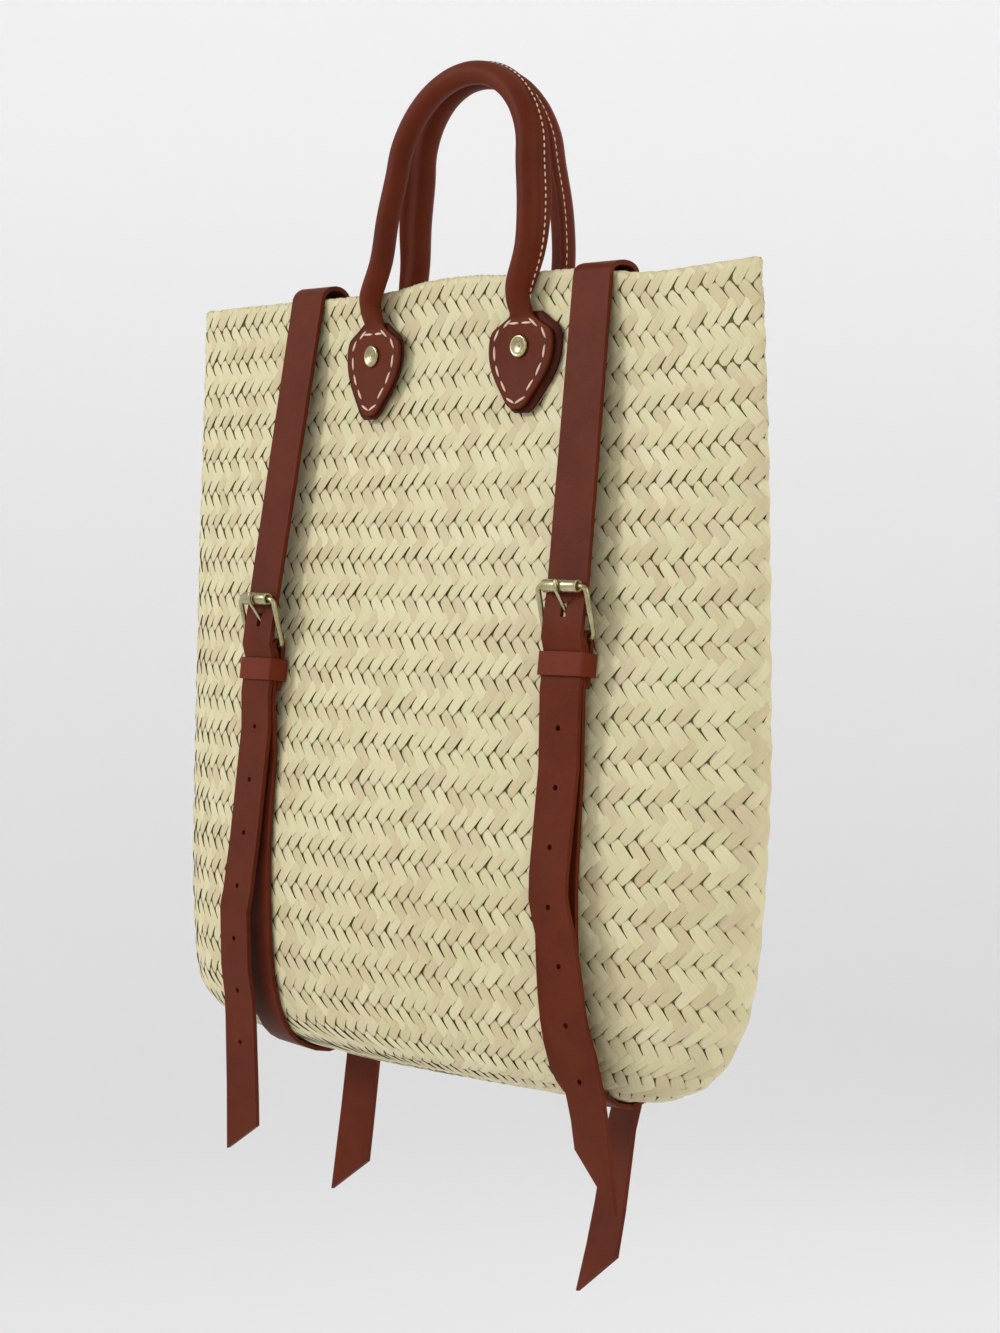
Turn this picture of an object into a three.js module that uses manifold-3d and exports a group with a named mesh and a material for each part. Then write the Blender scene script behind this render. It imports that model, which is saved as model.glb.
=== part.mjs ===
// Woven straw backpack that hangs from its two handles, in millimetres, +Z up.
// The origin is where a hand or a hook carries both handles; the front face looks along -Y.
import * as THREE from 'three';
import { mergeVertices } from 'three/addons/utils/BufferGeometryUtils.js';
import Module from 'manifold-3d';

const wasm = await Module();
wasm.setup();

// Driving dimensions: the basket
const basketHeight = 401;
const basketWidth = 428;
const basketDepth = 88;
const basketWall = 3;
const basketSquareness = 2.1;
const rimDrop = 102;
const rimRise = 7;
const mouthPinch = 1.5;
const mouthPinchWidth = 180;

// Driving dimensions: the handles and the tabs that hold them
const handleDiameter = 12;
const handleArch = 98;
const handleSpacing = 111;
const handleShift = 6;
const seamReach = 5;
const seamThickness = 2.8;
const tabDrop = 16;
const tabHeight = 46;
const tabWidth = 43;
const tabThickness = 2.4;
const tabLift = 2.5;
const backingThickness = 1.6;
const backingPeek = 4;
const rivetCap = 11.4;
const rivetShank = 3.4;
const rivetDrop = 31.5;

// How far each handle leans along the width on its way up to the top of its arch
const handleLeans = { front: 13, back: 5 };

// Driving dimensions: the leather straps
const strapWidth = 25;
const strapThickness = 2.4;
const strapSpacing = 229;
const rimStrapSpacing = 216;
const strapSpread = 150;
const holeDiameter = 3;
const holeSpacing = 28.5;
const holeCount = 8;
const tailSwing = 16;
const keeperHeight = 11.5;
const keeperThickness = 1.6;

// How far the middle of each strap stands above the rim that it crosses
const strapCrests = { left: 7.5, right: 4.6 };

// Driving dimensions: the buckles, with the heel bar's place down the strap from the roller
const wireDiameter = 2.8;
const buckleWidth = 28;
const buckleCorner = 3.2;
const rollerDiameter = 6.6;
const rollerLength = 22;
const heelDrop = 24;
const prongDiameter = 1.9;
const prongSlotLength = 7;
const prongSlotWidth = 3.4;

// Small gaps: between pieces that are pressed together, and inside the roller
const gap = 0.4;
const closeGap = 0.3;
const rollerGap = 0.5;

// The basket's outline, from the rim down, as shares of its height, half width and half depth
const basketRows = [
  { down: 0, left: 0.976, right: 0.98, depth: 0.2 },
  { down: 0.1, left: 0.985, right: 0.992, depth: 0.22 },
  { down: 0.25, left: 0.995, right: 1, depth: 0.41 },
  { down: 0.42, left: 1, right: 1, depth: 0.65 },
  { down: 0.6, left: 1, right: 0.995, depth: 0.87 },
  { down: 0.74, left: 1, right: 0.972, depth: 1 },
  { down: 0.86, left: 0.995, right: 0.938, depth: 0.97 },
  { down: 0.93, left: 0.97, right: 0.875, depth: 0.85 },
  { down: 0.97, left: 0.84, right: 0.79, depth: 0.66 },
  { down: 0.992, left: 0.52, right: 0.65, depth: 0.37 },
  { down: 1, left: 0.34, right: 0.45, depth: 0.06 },
];
const basketPlaces = [0, 0.5, 1, 2, 3, 4, 5, 5.5, 6, 6.5, 7, 7.5, 8, 8.5, 9, 10];
const basketSides = 36;

// How far the rim stands up along its width, as shares of the half width and of the rise
const rimRows = [
  { across: -1, rise: 0 },
  { across: -0.8, rise: 0 },
  { across: -0.4, rise: 0.03 },
  { across: -0.2, rise: 0.15 },
  { across: -0.07, rise: 0.66 },
  { across: 0.08, rise: 0.8 },
  { across: 0.23, rise: 0.6 },
  { across: 0.4, rise: 0.64 },
  { across: 0.57, rise: 0.15 },
  { across: 0.68, rise: -0.12 },
  { across: 0.8, rise: 0.05 },
  { across: 1, rise: 0.45 },
];
const rimFade = 0.35;
const drillLength = 40;

// The spade-shaped tab from its neck to its tip, as shares of its height and width
const tabRows = [
  { down: 0, width: 0.36 },
  { down: 0.08, width: 0.62 },
  { down: 0.17, width: 0.92 },
  { down: 0.32, width: 1 },
  { down: 0.5, width: 0.94 },
  { down: 0.68, width: 0.74 },
  { down: 0.84, width: 0.48 },
  { down: 0.95, width: 0.29 },
  { down: 1, width: 0.12 },
];

// The four free tails below their keepers: the share of the tail's length, the distance from the
// straw and the step sideways as shares of the swing, and the turn about the vertical in degrees
const tails = {
  front_left: {
    rollerDrop: 159.5,
    length: 240,
    cut: -16.7,
    rows: [
      { down: 0.12, off: 0.44, side: -0.06, turn: 0 },
      { down: 0.38, off: 0.53, side: -0.25, turn: 0 },
      { down: 0.48, off: 0.72, side: -0.45, turn: 0 },
      { down: 0.58, off: 0.73, side: -0.55, turn: 0 },
      { down: 0.71, off: 0.76, side: -0.6, turn: 2 },
      { down: 0.8, off: 0.64, side: -0.7, turn: 3 },
      { down: 1, off: 0.52, side: -0.85, turn: 5 },
    ],
  },
  front_right: {
    rollerDrop: 150.5,
    length: 235,
    cut: 29,
    rows: [
      { down: 0.16, off: 0.44, side: 0, turn: -2 },
      { down: 0.32, off: 0.52, side: 0, turn: -4 },
      { down: 0.42, off: 0.58, side: 0.02, turn: -4 },
      { down: 0.5, off: 0.58, side: 0.32, turn: -4 },
      { down: 0.59, off: 0.58, side: 0.5, turn: -3 },
      { down: 0.67, off: 0.62, side: 0.55, turn: 2 },
      { down: 0.76, off: 0.5, side: 0.62, turn: 2 },
      { down: 0.84, off: 0.35, side: 0.86, turn: -6 },
      { down: 1, off: 0.1, side: 0.96, turn: -9 },
    ],
  },
  back_left: {
    rollerDrop: 150.5,
    length: 277,
    cut: -20,
    rows: [
      { down: 0.25, off: 0.4, side: 0, turn: 0 },
      { down: 0.5, off: 0.42, side: 0.04, turn: 2 },
      { down: 0.65, off: 0.41, side: 0.06, turn: 3 },
      { down: 0.76, off: 0.2, side: 0.06, turn: 3 },
      { down: 1, off: -0.26, side: -0.12, turn: 0 },
    ],
  },
  back_right: {
    rollerDrop: 159.5,
    length: 286,
    cut: -22,
    rows: [
      { down: 0.25, off: 0.42, side: -0.1, turn: 2 },
      { down: 0.4, off: 0.46, side: -0.45, turn: 2 },
      { down: 0.51, off: 0.46, side: -0.75, turn: 0 },
      { down: 0.61, off: 0.36, side: -1.25, turn: 6 },
      { down: 0.69, off: 0.05, side: -1.6, turn: 12 },
      { down: 0.8, off: -0.34, side: -1.75, turn: 10 },
      { down: 0.91, off: -0.64, side: -1.82, turn: 6 },
      { down: 1, off: -1.05, side: -1.9, turn: 4 },
    ],
  },
};
const tailClampDown = 0.93;

// The lower strap round the basket, by rays from the middle of its lower part: the ray's angle
// below the front, and the strap's looseness as a share of its thickness
const rayDown = 0.75;
const lowerStrapRows = [
  { ray: -62, loose: 0.7 },
  { ray: -48, loose: 0.55 },
  { ray: -25, loose: 0.5 },
  { ray: 0, loose: 0.5 },
  { ray: 22, loose: 0.45 },
  { ray: 40, loose: 0.45 },
  { ray: 51, loose: 0.45 },
  { ray: 59, loose: 0.45 },
  { ray: 65, loose: 0.45 },
  { ray: 70, loose: 0.45 },
  { ray: 74, loose: 0.45 },
  { ray: 77.5, loose: 0.45 },
  { ray: 81, loose: 0.45 },
  { ray: 85, loose: 0.45 },
];

const halfWidth = basketWidth / 2;
const halfDepth = basketDepth / 2;
const lastRow = basketRows.length - 1;
const colours = { straw: 0xded6aa, leather: 0x5c2a1c, keeper: 0x733426, brass: 0xa39a70 };
const model = new THREE.Group();

function vector(x, y, z) {
  return new THREE.Vector3(x, y, z);
}

function mix(a, b, share) {
  return a + (b - a) * share;
}

// Every column of a table at a place between its rows, on one smooth curve through them
function along(rows, place) {
  const i = Math.min(Math.max(Math.floor(place), 0), rows.length - 2);
  const t = place - i;
  const values = {};
  for (const name of Object.keys(rows[0])) {
    const b = rows[i][name];
    const c = rows[i + 1][name];
    const a = i > 0 ? rows[i - 1][name] : 2 * b - c;
    const d = i + 2 < rows.length ? rows[i + 2][name] : 2 * c - b;
    const bend = 2 * a - 5 * b + 4 * c - d + t * (3 * (b - c) + d - a);
    values[name] = b + 0.5 * t * (c - a + t * bend);
  }
  return values;
}

// The place where a growing function of the place reaches a value
function placeWhere(low, high, reaches) {
  for (let step = 0; step < 40; step++) {
    const middle = (low + high) / 2;
    if (reaches(middle)) {
      high = middle;
    } else {
      low = middle;
    }
  }
  return (low + high) / 2;
}

function rimRiseAt(x, down) {
  const fade = Math.max(0, 1 - down / rimFade);
  const share = Math.min(Math.max(x / halfWidth, -1), 1);
  const place = placeWhere(0, rimRows.length - 1, (p) => along(rimRows, p).across >= share);
  return rimRise * along(rimRows, place).rise * fade * fade * (3 - 2 * fade);
}

// The handles draw the middle of the mouth together
function pinchAt(x, down) {
  const fade = Math.max(0, 1 - down / rimFade);
  return mouthPinch * Math.exp(-((2 * x / mouthPinchWidth) ** 2)) * fade * fade * (3 - 2 * fade);
}

function basketSection(place) {
  const row = along(basketRows, place);
  return {
    down: row.down,
    left: halfWidth * row.left,
    right: halfWidth * row.right,
    depth: halfDepth * row.depth,
    z: -rimDrop - basketHeight * row.down,
  };
}

// The wall's inward direction in a plane of size and height, for the column named
function inward(place, name) {
  const above = basketSection(Math.max(place - 0.05, 0));
  const below = basketSection(Math.min(place + 0.05, lastRow));
  const run = below[name] - above[name];
  const fall = above.z - below.z;
  const length = Math.hypot(run, fall);
  return { size: fall / length, rise: -run / length };
}

// A point of the basket's outer or inner wall; the angle runs from +X round to the back
function wallPoint(place, angle, inner) {
  const section = basketSection(place);
  const c = Math.cos(angle);
  const s = Math.sin(angle);
  const side = c < 0 ? 'left' : 'right';
  const bow = 2 / basketSquareness;
  let width = section[side];
  let depth = section.depth;
  let z = section.z;
  if (inner) {
    const atSide = inward(place, side);
    const atFace = inward(place, 'depth');
    width -= basketWall * atSide.size * Math.max(1, 0.6 * Math.sqrt(width / depth));
    depth -= basketWall * atFace.size;
    z += basketWall * (atSide.rise * c * c + atFace.rise * s * s);
  }
  const x = width * Math.sign(c) * Math.abs(c) ** bow;
  const across = Math.abs(s) ** bow;
  const y = Math.sign(s) * across * (depth - pinchAt(x, section.down));
  return vector(x, y, z + rimRiseAt(x, section.down));
}

// The outer face's distance from the middle plane at a place on the face
function faceDepth(x, z) {
  const low = (p) => basketSection(p).z + rimRiseAt(x, basketSection(p).down) <= z;
  const section = basketSection(placeWhere(0, lastRow, low));
  const share = Math.abs(x) / (x < 0 ? section.left : section.right);
  if (share >= 1) {
    return 0;
  }
  const across = (1 - share ** basketSquareness) ** (1 / basketSquareness);
  return across * (section.depth - pinchAt(x, section.down));
}

// Axes on a face of the basket, or on a leather tab that stands off it there by a lift:
// face is -1 at the front and 1 at the back
function faceAxes(x, z, face, liftAt = () => 0) {
  const step = 2;
  const depthAt = (u, v) => faceDepth(u, v) + liftAt(u);
  const slopeX = (depthAt(x + step, z) - depthAt(x - step, z)) / (2 * step);
  const slopeZ = (depthAt(x, z + step) - depthAt(x, z - step)) / (2 * step);
  const origin = vector(x, face * depthAt(x, z), z);
  const out = vector(-slopeX, face, -slopeZ).normalize();
  const across = vector(1, face * slopeX, 0).normalize();
  const down = across.clone().cross(out).multiplyScalar(-face).normalize();
  const at = (downBy, outBy, acrossBy = 0) => origin.clone()
    .addScaledVector(down, downBy).addScaledVector(out, outBy).addScaledVector(across, acrossBy);
  return { origin, out, across, down, at, face };
}

// A closed body through rings of points, with its faces turned outwards
function loft(rings, isLoop = false) {
  const size = rings[0].length;
  const points = rings.flat();
  const faces = [];
  const bands = isLoop ? rings.length : rings.length - 1;
  for (let i = 0; i < bands; i++) {
    const here = i * size;
    const next = ((i + 1) % rings.length) * size;
    for (let j = 0; j < size; j++) {
      const k = (j + 1) % size;
      faces.push([here + j, next + j, next + k], [here + j, next + k, here + k]);
    }
  }
  if (!isLoop) {
    capRing(faces, 0, size, false);
    capRing(faces, (rings.length - 1) * size, size, true);
  }
  const volume = faces.reduce((sum, [a, b, c]) =>
    sum + points[a].dot(points[b].clone().cross(points[c])), 0);
  const turned = volume < 0 ? faces.map(([a, b, c]) => [a, c, b]) : faces;
  const geometry = new THREE.BufferGeometry().setFromPoints(points);
  geometry.setIndex(turned.flat());
  return geometry;
}

// Fills an end ring with a zigzag of triangles
function capRing(faces, start, size, isEnd) {
  let low = 0;
  let high = size - 1;
  const push = (a, b, c) => faces.push(isEnd ? [start + a, start + c, start + b]
    : [start + a, start + b, start + c]);
  while (high - low > 1) {
    push(low, low + 1, high);
    low += 1;
    if (high - low > 1) {
      push(low, high - 1, high);
      high -= 1;
    }
  }
}

function toSolid(geometry) {
  const plain = geometry.clone();
  plain.deleteAttribute('normal');
  plain.deleteAttribute('uv');
  const merged = mergeVertices(plain, 1e-4);
  return new wasm.Manifold(new wasm.Mesh({
    numProp: 3,
    vertProperties: merged.attributes.position.array,
    triVerts: new Uint32Array(merged.index.array),
  }));
}

function cutFrom(geometry, tools) {
  let solid = toSolid(geometry);
  for (const tool of tools) {
    solid = solid.subtract(toSolid(tool));
  }
  const mesh = solid.getMesh();
  const result = new THREE.BufferGeometry();
  result.setAttribute('position', new THREE.BufferAttribute(mesh.vertProperties, 3));
  result.setIndex(new THREE.BufferAttribute(mesh.triVerts, 1));
  return result;
}

// Moves a shape so that its own X, Y and Z run along three given directions
function placed(geometry, origin, axisX, axisY, axisZ) {
  const matrix = new THREE.Matrix4().makeBasis(axisX, axisY, axisZ).setPosition(origin);
  return geometry.clone().applyMatrix4(matrix);
}

function add(name, geometry, colour, roughness, metalness) {
  geometry.computeVertexNormals();
  const material = new THREE.MeshStandardMaterial({ color: colour, roughness, metalness });
  material.flatShading = true;
  const mesh = new THREE.Mesh(geometry, material);
  mesh.name = name;
  model.add(mesh);
}

function addStraw(name, geometry) {
  add(name, geometry, colours.straw, 0.75, 0);
}

function addLeather(name, geometry, colour = colours.leather) {
  add(name, geometry, colour, 0.5, 0);
}

function addBrass(name, geometry) {
  add(name, geometry, colours.brass, 0.35, 1);
}

// A round wire through points, each with its own pair of cross directions
function wire(points, radius, sides, sideways, isLoop = false) {
  const rings = points.map((point, i) => {
    const last = points.length - 1;
    const before = points[i > 0 ? i - 1 : (isLoop ? last : 0)];
    const after = points[i < last ? i + 1 : (isLoop ? 0 : last)];
    const tangent = after.clone().sub(before).normalize();
    const second = tangent.clone().cross(sideways).normalize();
    const first = second.clone().cross(tangent);
    return Array.from({ length: sides }, (unused, j) => {
      const angle = (2 * Math.PI * (j + 0.5)) / sides;
      return point.clone().addScaledVector(first, radius * Math.cos(angle))
        .addScaledVector(second, radius * Math.sin(angle));
    });
  });
  return loft(rings, isLoop);
}

// A flat strap through stations that hold its middle and its direction across
function strap(stations, width, thickness) {
  const rings = stations.map((station, i) => {
    const before = stations[Math.max(i - 1, 0)].middle;
    const after = stations[Math.min(i + 1, stations.length - 1)].middle;
    const tangent = after.clone().sub(before).normalize();
    const across = station.across.clone().projectOnPlane(tangent).normalize();
    const normal = across.clone().cross(tangent);
    return [[1, 1], [-1, 1], [-1, -1], [1, -1]].map(([u, v]) => station.middle.clone()
      .addScaledVector(across, (u * width) / 2)
      .addScaledVector(normal, (v * thickness) / 2)
      .addScaledVector(tangent, (u * (station.slant ?? 0)) / 2));
  });
  return loft(rings);
}

// The place at a distance along the stations, with the strap's directions there
function strapAt(stations, distance) {
  let left = distance;
  let i = 0;
  let length = stations[0].middle.distanceTo(stations[1].middle);
  while (left > length && i < stations.length - 2) {
    left -= length;
    i += 1;
    length = stations[i].middle.distanceTo(stations[i + 1].middle);
  }
  const origin = stations[i].middle.clone().lerp(stations[i + 1].middle, left / length);
  const tangent = stations[i + 1].middle.clone().sub(stations[i].middle).normalize();
  const across = stations[i].across.clone().projectOnPlane(tangent).normalize();
  return { origin, tangent, across, normal: across.clone().cross(tangent) };
}

function basket() {
  const ring = (place, inner) => Array.from({ length: basketSides }, (unused, j) =>
    wallPoint(place, (2 * Math.PI * j) / basketSides, inner));
  const outer = basketPlaces.map((place) => ring(place, false)).reverse();
  const inner = basketPlaces.map((place) => ring(place, true));
  return loft([...outer, ...inner]);
}

// Handles and tabs
const tabTop = -rimDrop - tabDrop;
const archRadius = handleArch / 2;
const handleRadius = handleDiameter / 2;
const archHeight = handleRadius - archRadius;
const apexOut = handleRadius + 1.8;
const backingOff = gap;
const tabOff = backingOff + backingThickness + gap;
const seamAngle = Math.PI / 4;
const seamSpread = Math.atan(seamThickness / 2 / (handleRadius + seamReach));

// A lifted tab stands further off the straw at its inner edge
function tabLiftAt(x) {
  const share = (handleSpacing / 2 + tabWidth / 2 - Math.abs(x - handleShift)) / tabWidth;
  return tabLift * Math.min(Math.max(share, 0), 1);
}

// The handle's section: angles round it from the arch's outer side, and where its seam stands out
const handleRing = [
  { angle: seamAngle - 0.35, seam: 0 },
  { angle: seamAngle - seamSpread, seam: 1 },
  { angle: seamAngle + seamSpread, seam: 1 },
  { angle: seamAngle + 0.35, seam: 0 },
  ...Array.from({ length: 8 }, (unused, j) => ({
    angle: seamAngle + 0.35 + ((j + 1) * (2 * Math.PI - 0.7)) / 9,
    seam: 0,
  })),
];

function handleSection(station) {
  return handleRing.map(({ angle, seam }) => {
    const c = Math.cos(angle);
    const s = Math.sin(angle);
    const grow = 1 + (seam * station.seam * seamReach) / handleRadius;
    const bow = 2 / station.squareness;
    const sideBy = grow * station.width * Math.sign(c) * Math.abs(c) ** bow;
    const inBy = grow * station.thickness * Math.sign(s) * Math.abs(s) ** bow;
    const point = station.middle.clone().addScaledVector(station.side, sideBy)
      .addScaledVector(station.inside, inBy);
    if (station.onFace) {
      const off = station.off - inBy + tabLiftAt(point.x);
      point.y = station.face * (faceDepth(point.x, point.z) + off);
    }
    return point;
  });
}

// Stations of one half of a handle, from the tab's tip to the arch's top
function handleHalf(side, face, lean) {
  const inside = vector(0, -face, 0);
  const flat = { side: vector(side, 0, 0), inside, face, onFace: true, seam: 0 };
  const half = handleShift + (handleSpacing / 2) * side;
  const tab = tabRows.slice().reverse().map((row) => ({
    ...flat,
    middle: vector(half, 0, tabTop - tabHeight * row.down),
    off: tabOff + tabThickness / 2,
    width: (tabWidth * row.width) / 2,
    thickness: tabThickness / 2,
    squareness: 7,
  }));
  const neck = [
    { above: 0.28, wide: 1.16, thick: 0.55, squareness: 2.8 },
    { above: 0.56, wide: 1.05, thick: 0.84, squareness: 2.2 },
  ].map((row) => ({
    ...flat,
    middle: vector(half, 0, tabTop + tabDrop * row.above),
    off: mix(tabOff, gap, row.above) + handleRadius * row.thick,
    width: handleRadius * row.wide,
    thickness: handleRadius * row.thick,
    squareness: row.squareness,
  }));
  const rimOut = faceDepth(half, -rimDrop) + tabLiftAt(half) + gap + handleRadius;
  const path = [];
  for (const share of [0, 0.3, 0.65, 1]) {
    const z = mix(-rimDrop, archHeight, share);
    path.push(vector(side * mix(archRadius, handleSpacing / 2, (1 - share) ** 0.5), 0, z));
  }
  for (let turn = 18; turn <= 90; turn += 18) {
    const angle = THREE.MathUtils.degToRad(turn);
    path.push(vector(side * archRadius * Math.cos(angle), 0, archHeight + archRadius * Math.sin(angle)));
  }
  for (const point of path) {
    const rise = Math.max((point.z + rimDrop) / (rimDrop + handleRadius), 0);
    point.y = face * mix(rimOut, apexOut, rise ** 1.6);
    point.x += handleShift + lean * rise ** 0.35;
  }
  const tube = path.map((middle, i) => {
    const before = path[Math.max(i - 1, 0)];
    const after = path[Math.min(i + 1, path.length - 1)].clone();
    if (i === path.length - 1) {
      after.set(2 * middle.x - before.x, before.y, before.z);
    }
    const tangent = after.sub(before).normalize();
    const sideways = inside.clone().cross(tangent).normalize();
    if (sideways.x * side < 0 || (i === path.length - 1 && sideways.z < 0)) {
      sideways.negate();
    }
    const height = Math.max(middle.z - archHeight, 0) / archRadius;
    return {
      middle,
      side: sideways,
      inside: inside.clone().projectOnPlane(tangent).normalize(),
      width: handleRadius,
      thickness: handleRadius,
      squareness: 2,
      seam: Math.min(0.5 + i * 0.25, 1) * (1 - 0.6 * height),
    };
  });
  return [...tab, ...neck, ...tube];
}

function handle(face, lean) {
  const right = handleHalf(1, face, lean);
  const left = handleHalf(-1, face, lean).slice(0, -1).reverse();
  return loft([...right, ...left].map(handleSection));
}

// The second leather layer behind a tab shows past its outer edge and below its tip
function backing(side, face) {
  const half = handleShift + (handleSpacing / 2 + backingPeek / 2) * side;
  const rows = tabRows.map((row) => ({
    middle: half,
    z: tabTop + backingPeek / 2 - (tabHeight + backingPeek) * row.down,
    width: (tabWidth * row.width + backingPeek) / 2,
  }));
  const rings = rows.map((row) => [[1, 1], [0, 1], [-1, 1], [-1, 0], [0, 0], [1, 0]].map(([u, v]) => {
    const x = row.middle + u * row.width;
    const off = backingOff + v * backingThickness + tabLiftAt(x);
    return vector(x, face * (faceDepth(x, row.z) + off), row.z);
  }));
  return loft(rings);
}

// A dished rivet from above the tab, through everything, to its cap inside the basket
function rivetProfile(lift) {
  const cap = rivetCap / 2;
  const shank = rivetShank / 2;
  const seat = tabOff + tabThickness + closeGap;
  const inside = -lift - basketWall - gap;
  return [
    [0, inside - 1.2],
    [0.75 * cap, inside - 1],
    [0.75 * cap, inside],
    [shank, inside],
    [shank, seat],
    [cap, seat],
    [cap, seat + 0.7],
    [0.8 * cap, seat + 1.4],
    [0.5 * cap, seat + 0.9],
    [0, seat + 0.6],
  ].map(([radius, height]) => new THREE.Vector2(radius, height));
}

function addHandles() {
  const drills = [];
  for (const [faceName, face] of [['front', -1], ['back', 1]]) {
    const ownDrills = [];
    for (const [sideName, side] of [['left', -1], ['right', 1]]) {
      const x = handleShift + (side * handleSpacing) / 2;
      const axes = faceAxes(x, -rimDrop - rivetDrop, face, tabLiftAt);
      const turned = (shape) => placed(shape, axes.origin, axes.across, axes.out,
        axes.across.clone().cross(axes.out));
      const rivet = new THREE.LatheGeometry(rivetProfile(tabLiftAt(x)), 12);
      addBrass(`${faceName}_${sideName}_rivet`, turned(rivet));
      const drillRadius = rivetShank / 2 + closeGap;
      const drill = new THREE.CylinderGeometry(drillRadius, drillRadius, drillLength, 10);
      ownDrills.push(turned(drill));
      addLeather(`${faceName}_${sideName}_backing`, cutFrom(backing(side, face), [turned(drill)]));
    }
    addLeather(`${faceName}_handle`, cutFrom(handle(face, handleLeans[faceName]), ownDrills));
    drills.push(...ownDrills);
  }
  addStraw('basket', cutFrom(basket(), drills));
}

// Layers at a buckle, as distances out from the straw, with the heel bar between two of them
const halfStrap = strapThickness / 2;
const wireRadius = wireDiameter / 2;
const keeperIn = closeGap + keeperThickness;
const flapOut = keeperIn + gap + halfStrap;
const foldRadius = wireRadius + closeGap + halfStrap;
const heelOut = flapOut + foldRadius - 0.2;
const runOut = flapOut + strapThickness + gap + 0.1;
const billetOut = runOut + strapThickness + gap;
const overHeelOut = heelOut + foldRadius + strapThickness + gap;
const underRollerOut = billetOut + 1.4;
const rollerOut = underRollerOut + halfStrap + gap + rollerDiameter / 2;
const keeperOut = billetOut + halfStrap + closeGap;
const keeperDown = heelDrop + 7;
const prongDown = 11;

function strapX(side, z) {
  const share = Math.min((-rimDrop - z) / strapSpread, 1);
  return (side * mix(rimStrapSpacing, strapSpacing, Math.max(share, 0))) / 2;
}

// The tail below the keeper, from the point where it leaves the buckle's own layers
function tailStations(tail, axes) {
  const face = axes.face;
  const start = axes.at(keeperDown + keeperHeight + 7, billetOut + 0.2);
  const clampZ = -rimDrop - basketHeight * tailClampDown;
  const offAt = (x, z) => face * start.y - faceDepth(x, z);
  const first = { down: 0, off: offAt(start.x, start.z) / tailSwing, side: 0, turn: 0 };
  const rows = [first, ...tail.rows];
  const stations = [];
  const finest = 4;
  for (let i = 0; i <= (rows.length - 1) * finest; i++) {
    const row = along(rows, i / finest);
    const x = start.x + row.side * tailSwing;
    const z = start.z - tail.length * row.down;
    const y = face * (faceDepth(x, Math.max(z, clampZ)) + row.off * tailSwing);
    const across = axes.across.clone()
      .applyAxisAngle(vector(0, 0, 1), THREE.MathUtils.degToRad(-face * row.turn));
    stations.push({ middle: vector(x, y, z), across });
  }
  return thinned(stations);
}

const finestBend = 0.11;

// Keeps the ends, and a station wherever the strap has turned or run on far enough
function thinned(stations) {
  const kept = [stations[0]];
  let bend = 0;
  for (let i = 1; i < stations.length - 1; i++) {
    const before = stations[i].middle.clone().sub(stations[i - 1].middle);
    const after = stations[i + 1].middle.clone().sub(stations[i].middle);
    const last = kept[kept.length - 1];
    bend += before.angleTo(after) + 0.5 * stations[i].across.angleTo(stations[i - 1].across);
    if (bend > finestBend || stations[i].middle.distanceTo(last.middle) > 45) {
      kept.push(stations[i]);
      bend = 0;
    }
  }
  return [...kept, stations[stations.length - 1]];
}

// Half of an upper strap, from the rim's crest down to the tip of the tail
function upperHalf(side, face, tail, axes) {
  const rimX = (side * rimStrapSpacing) / 2;
  const rimZ = -rimDrop + rimRiseAt(rimX, 0);
  const rimOut = faceDepth(rimX, rimZ) + gap + halfStrap;
  const rimAxes = faceAxes(rimX, rimZ - 4, face);
  const crest = strapCrests[side < 0 ? 'left' : 'right'];
  const stations = [];
  for (let turn = 90; turn >= 0; turn -= 18) {
    const angle = THREE.MathUtils.degToRad(turn);
    stations.push({
      middle: vector(rimX, face * rimOut * Math.cos(angle), rimZ + crest * Math.sin(angle)),
      across: vector(1, 0, 0).lerp(rimAxes.across, Math.cos(angle)).normalize(),
    });
  }
  const rollerPoint = axes.at(0, underRollerOut);
  const rimPoint = stations[stations.length - 1].middle;
  for (const share of [0.25, 0.5, 0.75]) {
    stations.push({
      middle: rimPoint.clone().lerp(rollerPoint, share),
      across: rimAxes.across.clone().lerp(axes.across, share).normalize(),
    });
  }
  const layers = [
    [0, underRollerOut],
    [prongDown, mix(underRollerOut, overHeelOut, 0.6)],
    [heelDrop, overHeelOut],
    [keeperDown - 0.5, billetOut + 0.05],
    [keeperDown + keeperHeight, billetOut],
  ];
  for (const [down, out] of layers) {
    stations.push({ middle: axes.at(down, out), across: axes.across });
  }
  const tailPart = tailStations(tail, axes);
  tailPart[tailPart.length - 1].slant = tail.cut;
  return [...stations, ...tailPart];
}

// Round holes down the tail, and the slot that the prong stands in
function tailCuts(stations, axes) {
  const slotPlace = axes.at(prongDown, mix(underRollerOut, overHeelOut, 0.6));
  let toSlot = 0;
  for (let i = 1; stations[i].middle.clone().sub(slotPlace).dot(axes.down) < 0.01; i++) {
    toSlot += stations[i].middle.distanceTo(stations[i - 1].middle);
  }
  const cuts = [];
  const slot = new THREE.BoxGeometry(prongSlotWidth, prongSlotLength, 3 * strapThickness);
  const atSlot = strapAt(stations, toSlot);
  cuts.push(placed(slot, slotPlace, atSlot.across, atSlot.tangent, atSlot.normal));
  for (let i = 1; i <= holeCount; i++) {
    const place = strapAt(stations, toSlot + i * holeSpacing);
    const hole = new THREE.CylinderGeometry(holeDiameter / 2, holeDiameter / 2, 3 * strapThickness, 8);
    cuts.push(placed(hole, place.origin, place.across, place.normal, place.tangent.clone().negate()));
  }
  return cuts;
}

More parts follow.
